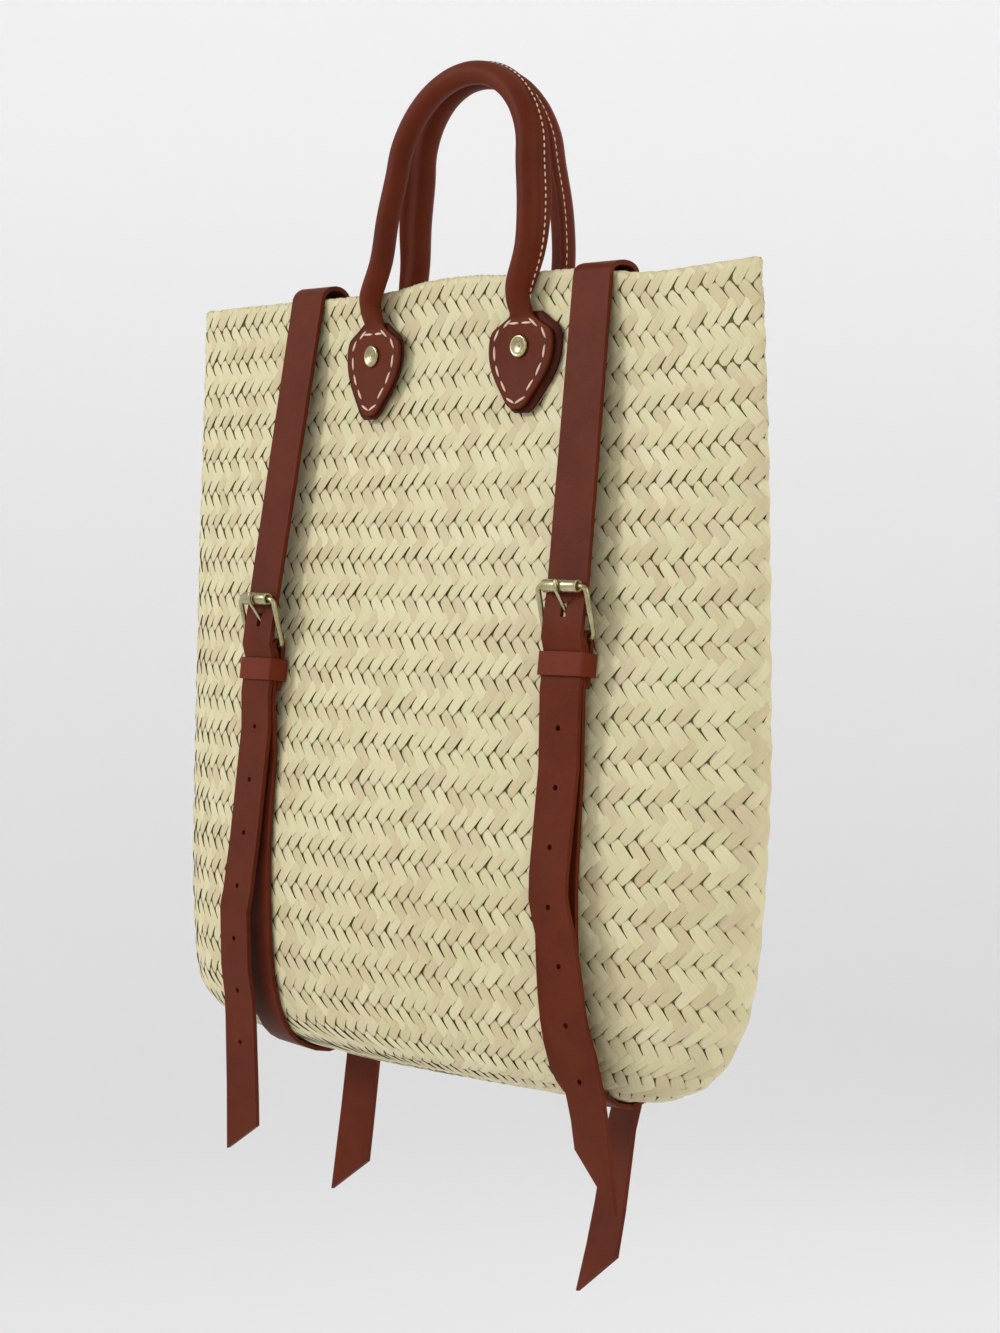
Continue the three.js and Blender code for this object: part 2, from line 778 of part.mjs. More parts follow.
function upperStrap(side, fronts, backs) {
  const frontHalf = upperHalf(side, -1, fronts.tail, fronts.axes);
  const backHalf = upperHalf(side, 1, backs.tail, backs.axes);
  frontHalf[frontHalf.length - 1].slant = -fronts.tail.cut;
  const stations = [...frontHalf.slice(1).reverse(), ...backHalf];
  const cuts = [...tailCuts(frontHalf, fronts.axes), ...tailCuts(backHalf, backs.axes)];
  return cutFrom(strap(stations, strapWidth, strapThickness), cuts);
}

// The basket's outline in a plane across the strap, met by a ray from the middle
function rayPoint(x, ray) {
  const z0 = -rimDrop - basketHeight * rayDown;
  const steep = Math.min(ray, 180 - ray);
  const front = ray <= 90 ? -1 : 1;
  const angle = THREE.MathUtils.degToRad(steep);
  const reach = basketHeight;
  const isOutside = (distance) => {
    const y = distance * Math.cos(angle);
    const z = z0 - distance * Math.sin(angle);
    return z < -rimDrop - basketHeight || faceDepth(x, z) <= y;
  };
  const distance = placeWhere(0, reach, isOutside);
  return vector(x, front * distance * Math.cos(angle), z0 - distance * Math.sin(angle));
}

function looseRayPoint(x, ray, off) {
  const before = rayPoint(x, ray - 1.5);
  const after = rayPoint(x, ray + 1.5);
  const tangent = after.sub(before).normalize();
  const out = vector(0, tangent.z, -tangent.y);
  return rayPoint(x, ray).addScaledVector(out, off);
}

function lowerStation(x, ray, loose) {
  const off = loose * strapThickness + halfStrap;
  const low = looseRayPoint(x - strapWidth / 2, ray, off);
  const high = looseRayPoint(x + strapWidth / 2, ray, off);
  return { middle: low.clone().lerp(high, 0.5), across: high.sub(low).normalize() };
}

// The end of a lower strap, from its folded flap round the heel bar and down again
function foldStations(axes) {
  const points = [
    [heelDrop + 24, flapOut + 0.2],
    [heelDrop + 13, flapOut],
  ];
  for (let turn = -80; turn >= -300; turn -= 27.5) {
    const angle = THREE.MathUtils.degToRad(turn);
    points.push([heelDrop + foldRadius * Math.cos(angle), heelOut + foldRadius * Math.sin(angle)]);
  }
  points.push([heelDrop + 4, mix(heelOut + foldRadius, runOut, 0.66)]);
  points.push([keeperDown - 1, runOut + 0.1]);
  points.push([keeperDown + keeperHeight + 1, runOut]);
  points.push([heelDrop + 28, runOut - 0.3]);
  return points.map(([down, out]) => ({ middle: axes.at(down, out), across: axes.across }));
}

function lowerStrap(frontAxes, backAxes) {
  const x = frontAxes.origin.x;
  const turns = lowerStrapRows;
  const front = turns.map((row) => lowerStation(x, row.ray, row.loose));
  const bottom = lowerStation(x, 90, turns[turns.length - 1].loose);
  const back = turns.map((row) => lowerStation(x, 180 - row.ray, row.loose)).reverse();
  const stations = [
    ...foldStations(frontAxes), ...front, bottom, ...back, ...foldStations(backAxes).reverse(),
  ];
  const cuts = [frontAxes, backAxes].map((axes) => placed(
    new THREE.BoxGeometry(prongSlotWidth + 1.6, 11, 4 * foldRadius),
    axes.at(heelDrop, heelOut), axes.across, axes.down, axes.across.clone().cross(axes.down)));
  return cutFrom(strap(stations, strapWidth, strapThickness), cuts);
}

function addBuckle(name, axes) {
  addBrass(`${name}_buckle_frame`, buckleFrame(axes));
  addBrass(`${name}_buckle_roller`, buckleRoller(axes));
  addBrass(`${name}_buckle_prong`, buckleProng(axes));
  addLeather(`${name}_keeper`, keeper(axes), colours.keeper);
}

// A rounded rectangle of wire from the roller's bar to the heel bar
function buckleFrame(axes) {
  const top = axes.at(0, rollerOut);
  const heel = axes.at(heelDrop, heelOut);
  const run = heel.clone().sub(top);
  const length = run.length();
  run.normalize();
  const half = buckleWidth / 2 + wireRadius;
  const points = [];
  for (const [u, v] of [[1, 0], [1, 1], [-1, 1], [-1, 0]]) {
    const middleU = u * (half - buckleCorner);
    const middleV = v ? length - buckleCorner : buckleCorner;
    const start = { '1,0': -90, '1,1': 0, '-1,1': 90, '-1,0': 180 }[`${u},${v}`];
    for (const turn of [0, 30, 60, 90]) {
      const angle = THREE.MathUtils.degToRad(start + turn);
      points.push(top.clone()
        .addScaledVector(axes.across, middleU + buckleCorner * Math.cos(angle))
        .addScaledVector(run, middleV + buckleCorner * Math.sin(angle)));
    }
  }
  const sideways = axes.across.clone().cross(run).normalize();
  return wire(points, wireRadius, 5, sideways, true);
}

function buckleRoller(axes) {
  const outer = rollerDiameter / 2;
  const inner = wireRadius + rollerGap;
  const half = rollerLength / 2;
  const profile = [[inner, -half], [outer, -half], [outer, half], [inner, half], [inner, -half]];
  const shape = new THREE.LatheGeometry(profile.map(([r, h]) => new THREE.Vector2(r, h)), 10);
  return placed(shape, axes.at(0, rollerOut), axes.out, axes.across, axes.out.clone().cross(axes.across));
}

// The prong curls round the heel bar, stands in the billet's slot and lies over the roller
function buckleProng(axes) {
  const radius = prongDiameter / 2;
  const curl = wireRadius + closeGap + radius;
  const over = rollerDiameter / 2 + closeGap + 0.1 + radius;
  const points = [];
  for (let turn = 130; turn >= -145; turn -= 45) {
    const angle = THREE.MathUtils.degToRad(turn);
    points.push([heelDrop + curl * Math.cos(angle), heelOut + curl * Math.sin(angle)]);
  }
  points.push([heelDrop - 5, heelOut - curl * 0.45]);
  points.push([prongDown + 4, heelOut + 0.2]);
  points.push([prongDown + 0.6, mix(heelOut, rollerOut, 0.46)]);
  for (const turn of [28, 60, 90]) {
    const angle = THREE.MathUtils.degToRad(turn);
    points.push([over * Math.cos(angle), rollerOut + over * Math.sin(angle)]);
  }
  points.push([-2.6, rollerOut + over - 0.3]);
  return wire(points.map(([down, out]) => axes.at(down, out)), radius, 5, axes.across);
}

// A closed leather loop round both straps
function keeper(axes) {
  const inHalf = strapWidth / 2 + closeGap;
  const outHalf = inHalf + keeperThickness;
  const shape = new THREE.Shape();
  roundedOutline(shape, outHalf, closeGap, keeperOut + keeperThickness, keeperThickness);
  const hole = new THREE.Path();
  roundedOutline(hole, inHalf, keeperIn, keeperOut, 0.4 * keeperThickness);
  shape.holes.push(hole);
  const ring = new THREE.ExtrudeGeometry(shape, {
    depth: keeperHeight, bevelEnabled: false, curveSegments: 1,
  });
  const sideways = axes.across.clone().multiplyScalar(-axes.face);
  return placed(ring, axes.at(keeperDown, 0), sideways, axes.out, axes.down);
}

function roundedOutline(path, half, low, high, corner) {
  const quarter = Math.PI / 2;
  path.moveTo(half - corner, low);
  path.absarc(half - corner, low + corner, corner, -quarter, 0);
  path.absarc(half - corner, high - corner, corner, 0, quarter);
  path.absarc(-half + corner, high - corner, corner, quarter, 2 * quarter);
  path.absarc(-half + corner, low + corner, corner, 2 * quarter, 3 * quarter);
  path.closePath();
}

function addStraps() {
  for (const [sideName, side] of [['left', -1], ['right', 1]]) {
    const ends = {};
    for (const [faceName, face] of [['front', -1], ['back', 1]]) {
      const tail = tails[`${faceName}_${sideName}`];
      const z = -rimDrop - tail.rollerDrop;
      const axes = faceAxes(strapX(side, z), z, face);
      ends[faceName] = { tail, axes };
      addBuckle(`${faceName}_${sideName}`, axes);
    }
    addLeather(`${sideName}_upper_strap`, upperStrap(side, ends.front, ends.back));
    addLeather(`${sideName}_lower_strap`, lowerStrap(ends.front.axes, ends.back.axes));
  }
}

addHandles();
addStraps();

export default model;
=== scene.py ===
# Woven straw backpack with rolled leather handles and buckled straps, hung in a plain pale room.
# Shapes are worked out in millimetres and put into the meshes in metres.
import math

import bpy
import bmesh
import numpy as np
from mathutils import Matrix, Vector


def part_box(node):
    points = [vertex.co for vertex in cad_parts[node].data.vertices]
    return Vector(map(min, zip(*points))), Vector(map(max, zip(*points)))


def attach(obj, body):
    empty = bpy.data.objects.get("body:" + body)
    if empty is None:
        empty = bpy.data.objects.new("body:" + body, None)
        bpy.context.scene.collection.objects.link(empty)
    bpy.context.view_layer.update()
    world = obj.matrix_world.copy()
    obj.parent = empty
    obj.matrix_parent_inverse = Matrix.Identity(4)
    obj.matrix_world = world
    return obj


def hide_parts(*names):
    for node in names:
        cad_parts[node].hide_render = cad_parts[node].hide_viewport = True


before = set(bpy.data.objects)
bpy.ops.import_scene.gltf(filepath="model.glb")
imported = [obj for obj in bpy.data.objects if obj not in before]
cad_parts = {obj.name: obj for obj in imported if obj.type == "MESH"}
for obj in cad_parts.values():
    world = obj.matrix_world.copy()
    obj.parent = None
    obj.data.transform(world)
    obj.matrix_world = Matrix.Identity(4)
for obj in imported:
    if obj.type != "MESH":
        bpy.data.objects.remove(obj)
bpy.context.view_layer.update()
toMetres = 0.001
scene = bpy.context.scene
print("The packed backpack is loaded")


def newObject(name, data):
    placed = bpy.data.objects.new(name, data)
    scene.collection.objects.link(placed)
    return placed


# Camera
cameraValues = {
    "place": (1.1637, -1.055, -0.231),
    "azimuth": 47,
    "lookDown": 2.27,
    "lens": 82.8,
    "film": 36,
}


def addCamera(values):
    data = bpy.data.cameras.new("camera")
    data.lens = values["lens"]
    data.sensor_width = values["film"]
    data.clip_end = 50
    camera = newObject("camera", data)
    turn = math.radians(values["azimuth"])
    down = math.radians(values["lookDown"])
    level = math.cos(down)
    sight = Vector((-math.sin(turn) * level, math.cos(turn) * level, -math.sin(down)))
    camera.location = values["place"]
    camera.rotation_euler = sight.to_track_quat("-Z", "Y").to_euler()
    scene.camera = camera


addCamera(cameraValues)
print("The camera stands where the photograph was taken")


# Node helpers
class TreeMaker:
    def __init__(self, tree):
        self.tree = tree

    def feed(self, socket, value):
        if isinstance(value, bpy.types.NodeSocket):
            self.tree.links.new(value, socket)
        elif value is not None:
            socket.default_value = value

    def add(self, kind, inputs=None, settings=None):
        node = self.tree.nodes.new(kind)
        for name, value in (settings or {}).items():
            setattr(node, name, value)
        for name, value in (inputs or {}).items():
            self.feed(node.inputs[name], value)
        return node

    def maths(self, operation, *values):
        node = self.add("ShaderNodeMath", settings={"operation": operation})
        for socket, value in zip(node.inputs, values):
            self.feed(socket, value)
        return node.outputs[0]

    def plus(self, a, b):
        return self.maths("ADD", a, b)

    def minus(self, a, b):
        return self.maths("SUBTRACT", a, b)

    def times(self, a, b):
        return self.maths("MULTIPLY", a, b)

    def over(self, a, b):
        return self.maths("DIVIDE", a, b)

    # A share that leaves 0 at start and comes to 1 at stop, squared
    def end(self, value, start, stop):
        share = self.over(self.minus(value, start), self.minus(stop, start))
        clear = self.maths("MAXIMUM", share, 0.0)
        return self.times(clear, clear)

    def ranged(self, value, fromMin, fromMax, toMin=0.0, toMax=1.0):
        return self.add("ShaderNodeMapRange", {
            "Value": value, "From Min": fromMin, "From Max": fromMax, "To Min": toMin, "To Max": toMax,
        }).outputs[0]

    def noise(self, place, scale, detail, roughness):
        return self.add("ShaderNodeTexNoise", {
            "Vector": place, "Scale": scale, "Detail": detail, "Roughness": roughness,
        }).outputs["Fac"]

    # The last steps of a geometry tree
    def finish(self, geometry, material):
        smooth = self.add("GeometryNodeSetShadeSmooth", {"Geometry": geometry}).outputs[0]
        dressed = self.add("GeometryNodeSetMaterial", {"Geometry": smooth, "Material": material})
        self.add("NodeGroupOutput", {"Geometry": dressed.outputs[0]})


# Group sockets, listed by kind
def sockets(tree, direction, listed):
    for kind, names in listed.items():
        for name in names:
            tree.interface.new_socket(name, in_out=direction, socket_type="NodeSocket" + kind)


# Runs a geometry tree and leaves its result in a plain mesh
def grown(name, tree, values, start=None):
    piece = newObject(name, start or bpy.data.meshes.new(name))
    modifier = piece.modifiers.new("grow", "NODES")
    modifier.node_group = tree
    for item in tree.interface.items_tree:
        if item.item_type == "SOCKET" and item.in_out == "INPUT" and item.name in values:
            modifier[item.identifier] = values[item.name]
    depsgraph = bpy.context.evaluated_depsgraph_get()
    depsgraph.update()
    mesh = bpy.data.meshes.new_from_object(piece.evaluated_get(depsgraph))
    piece.modifiers.remove(modifier)
    piece.data = mesh
    mesh.name = name
    return piece


def shade(red, green, blue):
    def line(value):
        share = value / 255
        return share / 12.92 if share <= 0.04045 else ((share + 0.055) / 1.055) ** 2.4
    return (line(red), line(green), line(blue), 1.0)


def newMaterial(name):
    material = bpy.data.materials.new(name)
    material.use_nodes = True
    nodes = material.node_tree.nodes
    return material, TreeMaker(material.node_tree), nodes["Principled BSDF"]


# Mesh helpers
def meshFrom(name, points, faces, material=None):
    mesh = bpy.data.meshes.new(name)
    mesh.from_pydata([tuple(toMetres * value for value in point) for point in points], [], faces)
    if material is not None:
        mesh.materials.append(material)
    mesh.shade_smooth()
    mesh.update()
    return mesh


def newPiece(name, mesh, slot, *replaced):
    return dressed(newObject(name, mesh), slot, *replaced)


def dressed(piece, slot, *replaced):
    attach(piece, "root")
    if replaced:
        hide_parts(*replaced)
    return piece


# Faces between rings of points, with closed ends unless the rings run round to the first
def loftFaces(ringCount, size, isLoop=False):
    faces = []
    bands = ringCount if isLoop else ringCount - 1
    for i in range(bands):
        here = i * size
        there = ((i + 1) % ringCount) * size
        for j in range(size):
            k = (j + 1) % size
            faces.append((here + j, there + j, there + k, here + k))
    if not isLoop:
        faces.append(tuple(range(size)))
        faces.append(tuple((ringCount - 1) * size + j for j in reversed(range(size))))
    return faces


def turnedOut(mesh):
    work = bmesh.new()
    work.from_mesh(mesh)
    bmesh.ops.recalc_face_normals(work, faces=work.faces)
    work.to_mesh(mesh)
    work.free()
    return mesh


def loftMesh(name, rings, material, isLoop=False):
    size = len(rings[0])
    points = [point for ring in rings for point in ring]
    return turnedOut(meshFrom(name, points, loftFaces(len(rings), size, isLoop), material))


# A smooth curve through a table's rows, read at places between them
def along(table, places):
    rows = np.array(table, float)
    places = np.asarray(places, float)
    first = np.clip(np.floor(places).astype(int), 0, len(rows) - 2)
    t = (places - first)[..., None]
    b = rows[first]
    c = rows[first + 1]
    a = np.where((first > 0)[..., None], rows[np.maximum(first - 1, 0)], 2 * b - c)
    after = rows[np.minimum(first + 2, len(rows) - 1)]
    d = np.where((first + 2 < len(rows))[..., None], after, 2 * c - b)
    bend = 2 * a - 5 * b + 4 * c - d + t * (3 * (b - c) + d - a)
    return b + 0.5 * t * (c - a + t * bend)


def mix(a, b, share):
    return a + (b - a) * share


# Basket shape
basketValues = {
    "wall": 3,
    "squareness": 2.1,
    "rimDrop": 102,
    "rimRise": 7,
    "rimFade": 0.35,
    "mouthPinch": 1.5,
    "mouthPinchWidth": 180,
    # Down from the rim, left and right half width, half depth, as shares
    "rows": [
        (0, 0.976, 0.98, 0.2),
        (0.1, 0.985, 0.992, 0.22),
        (0.25, 0.995, 1, 0.41),
        (0.42, 1, 1, 0.65),
        (0.6, 1, 0.995, 0.87),
        (0.74, 1, 0.972, 1),
        (0.86, 0.995, 0.938, 0.97),
        (0.93, 0.97, 0.875, 0.85),
        (0.97, 0.84, 0.79, 0.66),
        (0.992, 0.52, 0.65, 0.37),
        (1, 0.34, 0.45, 0.06),
    ],
    # Across the rim, and how far it stands up there
    "rimRows": [
        (-1, 0),
        (-0.8, 0),
        (-0.4, 0.03),
        (-0.2, 0.15),
        (-0.07, 0.66),
        (0.08, 0.8),
        (0.23, 0.6),
        (0.4, 0.64),
        (0.57, 0.15),
        (0.68, -0.12),
        (0.8, 0.05),
        (1, 0.45),
    ],
}
basketLow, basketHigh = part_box("basket")
halfWidth = -basketLow.x / toMetres
halfDepth = basketHigh.y / toMetres
rimDrop = basketValues["rimDrop"]
basketHeight = -basketLow.z / toMetres - rimDrop
basketWall = basketValues["wall"]
bow = 2 / basketValues["squareness"]
basketRows = basketValues["rows"]
lastRow = len(basketRows) - 1
sections = along(basketRows, np.linspace(0, lastRow, 1201))
rimCurve = along(basketValues["rimRows"], np.linspace(0, len(basketValues["rimRows"]) - 1, 400))


# How far along a line of points each point lies
def runAlong(points):
    return np.concatenate([[0], np.cumsum(np.linalg.norm(np.diff(points, axis=0), axis=1))])


def rimFadeAt(down):
    fade = np.maximum(0, 1 - down / basketValues["rimFade"])
    return fade * fade * (3 - 2 * fade)


def rimRiseAt(x, down):
    share = np.clip(x / halfWidth, -1, 1)
    return basketValues["rimRise"] * np.interp(share, rimCurve[:, 0], rimCurve[:, 1]) * rimFadeAt(down)


# The handles draw the middle of the mouth together
def pinchAt(x, down):
    reach = 2 * x / basketValues["mouthPinchWidth"]
    return basketValues["mouthPinch"] * np.exp(-reach * reach) * rimFadeAt(down)


# How far a step into the wall goes sideways and up, for a column of the section table
def inward(place, column, reach):
    above = along(basketRows, max(place - 0.05, 0))
    below = along(basketRows, min(place + 0.05, lastRow))
    run = reach * (below[column] - above[column])
    fall = basketHeight * (below[0] - above[0])
    length = math.hypot(run, fall)
    return fall / length, -run / length


# A ring of the wall: into is 0 on the outer face and 1 on the inner face
def wallRing(place, angles, into=0.0):
    down, left, right, depth = along(basketRows, place)
    c = np.cos(angles)
    s = np.sin(angles)
    isLeft = c < 0
    width = halfWidth * np.where(isLeft, left, right)
    depth = halfDepth * depth
    z = -rimDrop - basketHeight * down
    leftStep = inward(place, 1, halfWidth)
    rightStep = inward(place, 2, halfWidth)
    faceStep = inward(place, 3, halfDepth)
    wall = basketWall * into
    sideSize = np.where(isLeft, leftStep[0], rightStep[0])
    sideRise = np.where(isLeft, leftStep[1], rightStep[1])
    spread = np.maximum(1, 0.6 * np.sqrt(width / depth))
    width = width - wall * sideSize * spread
    depth = max(depth - wall * faceStep[0], 0.15)
    z = z + wall * (sideRise * c * c + faceStep[1] * s * s)
    x = width * np.sign(c) * np.abs(c) ** bow
    y = np.sign(s) * np.abs(s) ** bow * (depth - pinchAt(x, down))
    return np.stack([x, y, z + rimRiseAt(x, down)], axis=-1)


def faceDepth(x, z):
    drop = rimDrop + basketHeight * sections[:, 0] - rimRiseAt(x, sections[:, 0])
    down, left, right, depth = [np.interp(-z, drop, sections[:, i]) for i in range(4)]
    share = abs(x) / (halfWidth * (left if x < 0 else right))
    if share >= 1:
        return 0.0
    across = (1 - share ** (2 / bow)) ** (bow / 2)
    return float(across * (halfDepth * depth - pinchAt(x, down)))


# A place on a face of the basket: front is -1 and back is 1
class FacePlace:
    def __init__(self, x, z, face, liftAt=lambda x: 0):
        step = 2

        def depthAt(u, v):
            return faceDepth(u, v) + liftAt(u)

        slopeX = (depthAt(x + step, z) - depthAt(x - step, z)) / (2 * step)
        slopeZ = (depthAt(x, z + step) - depthAt(x, z - step)) / (2 * step)
        self.face = face
        self.origin = Vector((x, face * depthAt(x, z), z))
        self.out = Vector((-slopeX, face, -slopeZ)).normalized()
        self.across = Vector((1, face * slopeX, 0)).normalized()
        self.down = (self.across.cross(self.out) * -face).normalized()

    def at(self, down, out, across=0.0):
        return self.origin + self.down * down + self.out * out + self.across * across


# Wall surfaces that the weave follows
surfaceValues = {
    "pointsAcross": 88,
    "samples": 160,
    "outerRings": 60,
    "rollRings": 6,
    "crownRings": 9,
    "innerRings": 70,
    # The inner wall starts and stops this many section rows short of the outer one
    "innerStart": 0.15,
    "innerStop": 0.25,
    # The last ring closes the bottom: its share of the depth, and how far it lies below
    "closing": 0.02,
    "closingDrop": 0.4,
    "rollOver": 14,
    "faceWeight": 0.75,
}


# Rings round the basket from the back's middle, with even steps in each quarter
def evenRing(place, into):
    ring = []
    for quarter in range(4):
        angles = math.pi / 2 * (1 + quarter + np.linspace(0, 1, surfaceValues["samples"]))
        points = wallRing(place, angles, into)
        length = runAlong(points)
        even = np.linspace(0, length[-1], surfaceValues["pointsAcross"] + 1)[:-1]
        ring.append(np.stack([np.interp(even, length, points[:, i]) for i in range(3)], axis=-1))
    return np.concatenate(ring)


# How far down the wall each ring lies, measured between the faces' and the sides' own lengths
def runDown(rings):
    quarter = surfaceValues["pointsAcross"]
    lengths = []
    for column in (2 * quarter, quarter, 3 * quarter):
        lengths.append(runAlong(np.array([ring[column] for ring in rings])))
    weight = surfaceValues["faceWeight"]
    return weight * lengths[0] + (1 - weight) * (lengths[1] + lengths[2]) / 2


def surfaceObject(name, rings, heights):
    count = len(rings[0])
    points = [point for ring in rings for point in ring]
    faces = []
    corners = []
    span = heights[-1] - heights[0]
    for i in range(len(rings) - 1):
        for j in range(count):
            k = (j + 1) % count
            faces.append((i * count + j, (i + 1) * count + j, (i + 1) * count + k, i * count + k))
            top = (heights[i] - heights[0]) / span
            low = (heights[i + 1] - heights[0]) / span
            left = j / count
            right = (j + 1) / count
            corners.extend([(left, top), (left, low), (right, low), (right, top)])
    mesh = meshFrom(name, points, faces)
    layer = mesh.uv_layers.new(name="wallMap")
    layer.data.foreach_set("uv", np.array(corners, np.float32).ravel())
    return newObject(name, mesh)


def outerSurface():
    values = surfaceValues
    count = values["outerRings"]
    places = np.concatenate([np.linspace(0, 6, count), np.linspace(6, lastRow, count)[1:]])
    outer = [evenRing(place, 0) for place in places]
    closing = outer[-1] * np.array([1, values["closing"], 1]) - np.array([0, 0, values["closingDrop"]])
    rings = outer + [closing]
    heights = list(runDown(rings))
    crown = []
    middle = (outer[0] + evenRing(0, 1)) / 2
    for turn in np.linspace(0, 180, values["crownRings"])[1:-1]:
        angle = math.radians(turn)
        side = (outer[0] - middle) * math.cos(angle)
        crown.append(middle + side + np.array([0, 0, basketWall / 2 * math.sin(angle)]))
    inside = []
    for down in np.linspace(0, values["rollOver"], values["rollRings"]):
        inside.append(evenRing(down / basketHeight / basketRows[1][0], 1))
    rings = list(reversed(inside)) + list(reversed(crown)) + rings
    rollLength = math.pi / 2 * basketWall
    before = [-rollLength - down for down in np.linspace(values["rollOver"], 0, values["rollRings"])]
    before += [-rollLength * share for share in np.linspace(1, 0, values["crownRings"])[1:-1]]
    return surfaceObject("outer wall", rings, before + heights), before[0], heights[-1]


def innerSurface():
    values = surfaceValues
    places = np.linspace(values["innerStart"], lastRow - values["innerStop"], values["innerRings"])
    rings = [evenRing(place, 1)[::-1] for place in places]
    heights = list(runDown(rings))
    return surfaceObject("inner wall", rings, heights), 0.0, heights[-1]


# Straw weave
weaveValues = {
    "columns": 98,
    "rowPitch": 9.5,
    "columnPitch": 9.25,
    "leafLength": 16.2,
    "leafWidth": 6.62,
    "crown": 0.24,
    "ridge": 0.36,
    "dive": 0.7,
    "wander": 0.45,
    "seed": 7,
}
# Where a leaf's ends begin, as shares of its length, and how much they do there
leafValues = {
    "middle": 0.5,
    "lowDiveFrom": 0.22,
    "highDiveFrom": 0.3,
    "highDive": 0.35,
    "narrowFrom": 0.06,
    "lowNarrow": 0.38,
    "highNarrow": 0.04,
    "widthSpread": 0.14,
    "turnSpread": 1.1,
    "liftSpread": 0.3,
    "tiltSpread": 0.5,
    "mapMargin": 0.0002,
}


# Leaves of palm in rows that lean right and left in turn, laid on a wall by its map
def weaveTree():
    tree = bpy.data.node_groups.new("herringbone weave", "GeometryNodeTree")
    sockets(tree, "INPUT", {
        "Geometry": ["Geometry"], "Object": ["Wall"], "Material": ["Straw"],
        "Int": ["Columns", "Rows", "Cells Across", "Cells Along", "Seed"],
        "Float": ["First Row", "Wall Start", "Wall Length", "Column Pitch", "Row Pitch", "Leaf Length",
                  "Leaf Width", "Crown", "Ridge", "Dive", "Wander"],
    })
    sockets(tree, "OUTPUT", {"Geometry": ["Geometry"]})
    make = TreeMaker(tree)
    given = make.add("NodeGroupInput").outputs
    shape = leafValues
    tip = shape["middle"]

    def stored(geometry, name, value, kind="FLOAT"):
        node = make.add("GeometryNodeStoreNamedAttribute",
                        {"Geometry": geometry, "Name": name},
                        {"data_type": kind, "domain": "POINT"})
        make.feed(node.inputs["Value"], value)
        return node.outputs["Geometry"]

    def named(name, kind="FLOAT"):
        node = make.add("GeometryNodeInputNamedAttribute", {"Name": name}, {"data_type": kind})
        return node.outputs["Attribute"]

    def chance(seedStep):
        seed = make.plus(given["Seed"], float(seedStep))
        node = make.add("FunctionNodeRandomValue", {"Seed": seed}, {"data_type": "FLOAT"})
        return node.outputs[1]

    # One point for each leaf, which knows its row, its column and four chances
    total = make.times(given["Columns"], given["Rows"])
    cloud = make.add("GeometryNodePoints", {"Count": total}).outputs[0]
    index = make.add("GeometryNodeInputIndex").outputs[0]
    cloud = stored(cloud, "leafColumn", make.maths("FLOORED_MODULO", index, given["Columns"]))
    cloud = stored(cloud, "leafRow", make.maths("FLOOR", make.over(index, given["Columns"])))
    for step, name in enumerate(("tone", "chanceSide", "chanceLift", "chanceWidth")):
        cloud = stored(cloud, name, chance(step))

    verticesX = make.plus(given["Cells Across"], 1.0)
    verticesY = make.plus(given["Cells Along"], 1.0)
    leaf = make.add("GeometryNodeMeshGrid", {
        "Size X": 1.0, "Size Y": 1.0, "Vertices X": verticesX, "Vertices Y": verticesY,
    }).outputs["Mesh"]
    own = make.add("GeometryNodeInputPosition").outputs[0]
    leaf = stored(leaf, "leafPlace", own, "FLOAT_VECTOR")
    leaves = make.add("GeometryNodeInstanceOnPoints", {"Points": cloud, "Instance": leaf})
    leaves = make.add("GeometryNodeRealizeInstances", {"Geometry": leaves.outputs[0]}).outputs[0]

    # Each corner's place in its leaf, with the low end at -0.5 and the high end at 0.5
    place = make.add("ShaderNodeSeparateXYZ", {"Vector": named("leafPlace", "FLOAT_VECTOR")})
    t = place.outputs["X"]
    s = place.outputs["Y"]
    row = named("leafRow")
    odd = make.maths("FLOORED_MODULO", row, 2.0)
    lean = make.minus(1.0, make.times(odd, 2.0))
    reach = make.times(s, lean)
    lowReach = make.times(reach, -1.0)
    lowEnd = make.end(lowReach, shape["lowDiveFrom"], tip)
    highEnd = make.end(reach, shape["highDiveFrom"], tip)
    sway = make.minus(named("chanceSide"), 0.5)
    lift = make.minus(named("chanceLift"), 0.5)
    broad = make.minus(named("chanceWidth"), 0.5)

    parting = make.end(lowReach, shape["narrowFrom"], tip)
    narrow = make.plus(make.times(parting, shape["lowNarrow"]), make.times(highEnd, shape["highNarrow"]))
    breadth = make.times(given["Leaf Width"], make.plus(1.0, make.times(broad, shape["widthSpread"])))
    crossways = make.times(make.times(t, breadth), make.minus(1.0, narrow))
    lengthways = make.times(s, given["Leaf Length"])
    root = math.sqrt(0.5)
    right = make.times(make.plus(make.times(lengthways, lean), crossways), root)
    up = make.times(make.minus(lengthways, make.times(crossways, lean)), root)
    right = make.plus(right, make.times(sway, given["Wander"]))
    right = make.plus(right, make.times(make.times(s, lift), shape["turnSpread"]))
    up = make.plus(up, make.times(lift, given["Wander"]))

    column = make.plus(named("leafColumn"), make.times(odd, 0.5))
    turn = make.over(make.plus(column, make.over(right, given["Column Pitch"])), given["Columns"])
    turn = make.maths("FRACT", turn)
    drop = make.times(make.plus(row, 0.5), given["Row Pitch"])
    drop = make.minus(make.plus(drop, given["First Row"]), up)
    fall = make.over(make.minus(drop, given["Wall Start"]), given["Wall Length"])
    fall = make.maths("MAXIMUM", fall, shape["mapMargin"])
    fall = make.maths("MINIMUM", fall, 1.0 - shape["mapMargin"])
    mapPlace = make.add("ShaderNodeCombineXYZ", {"X": turn, "Y": fall}).outputs[0]

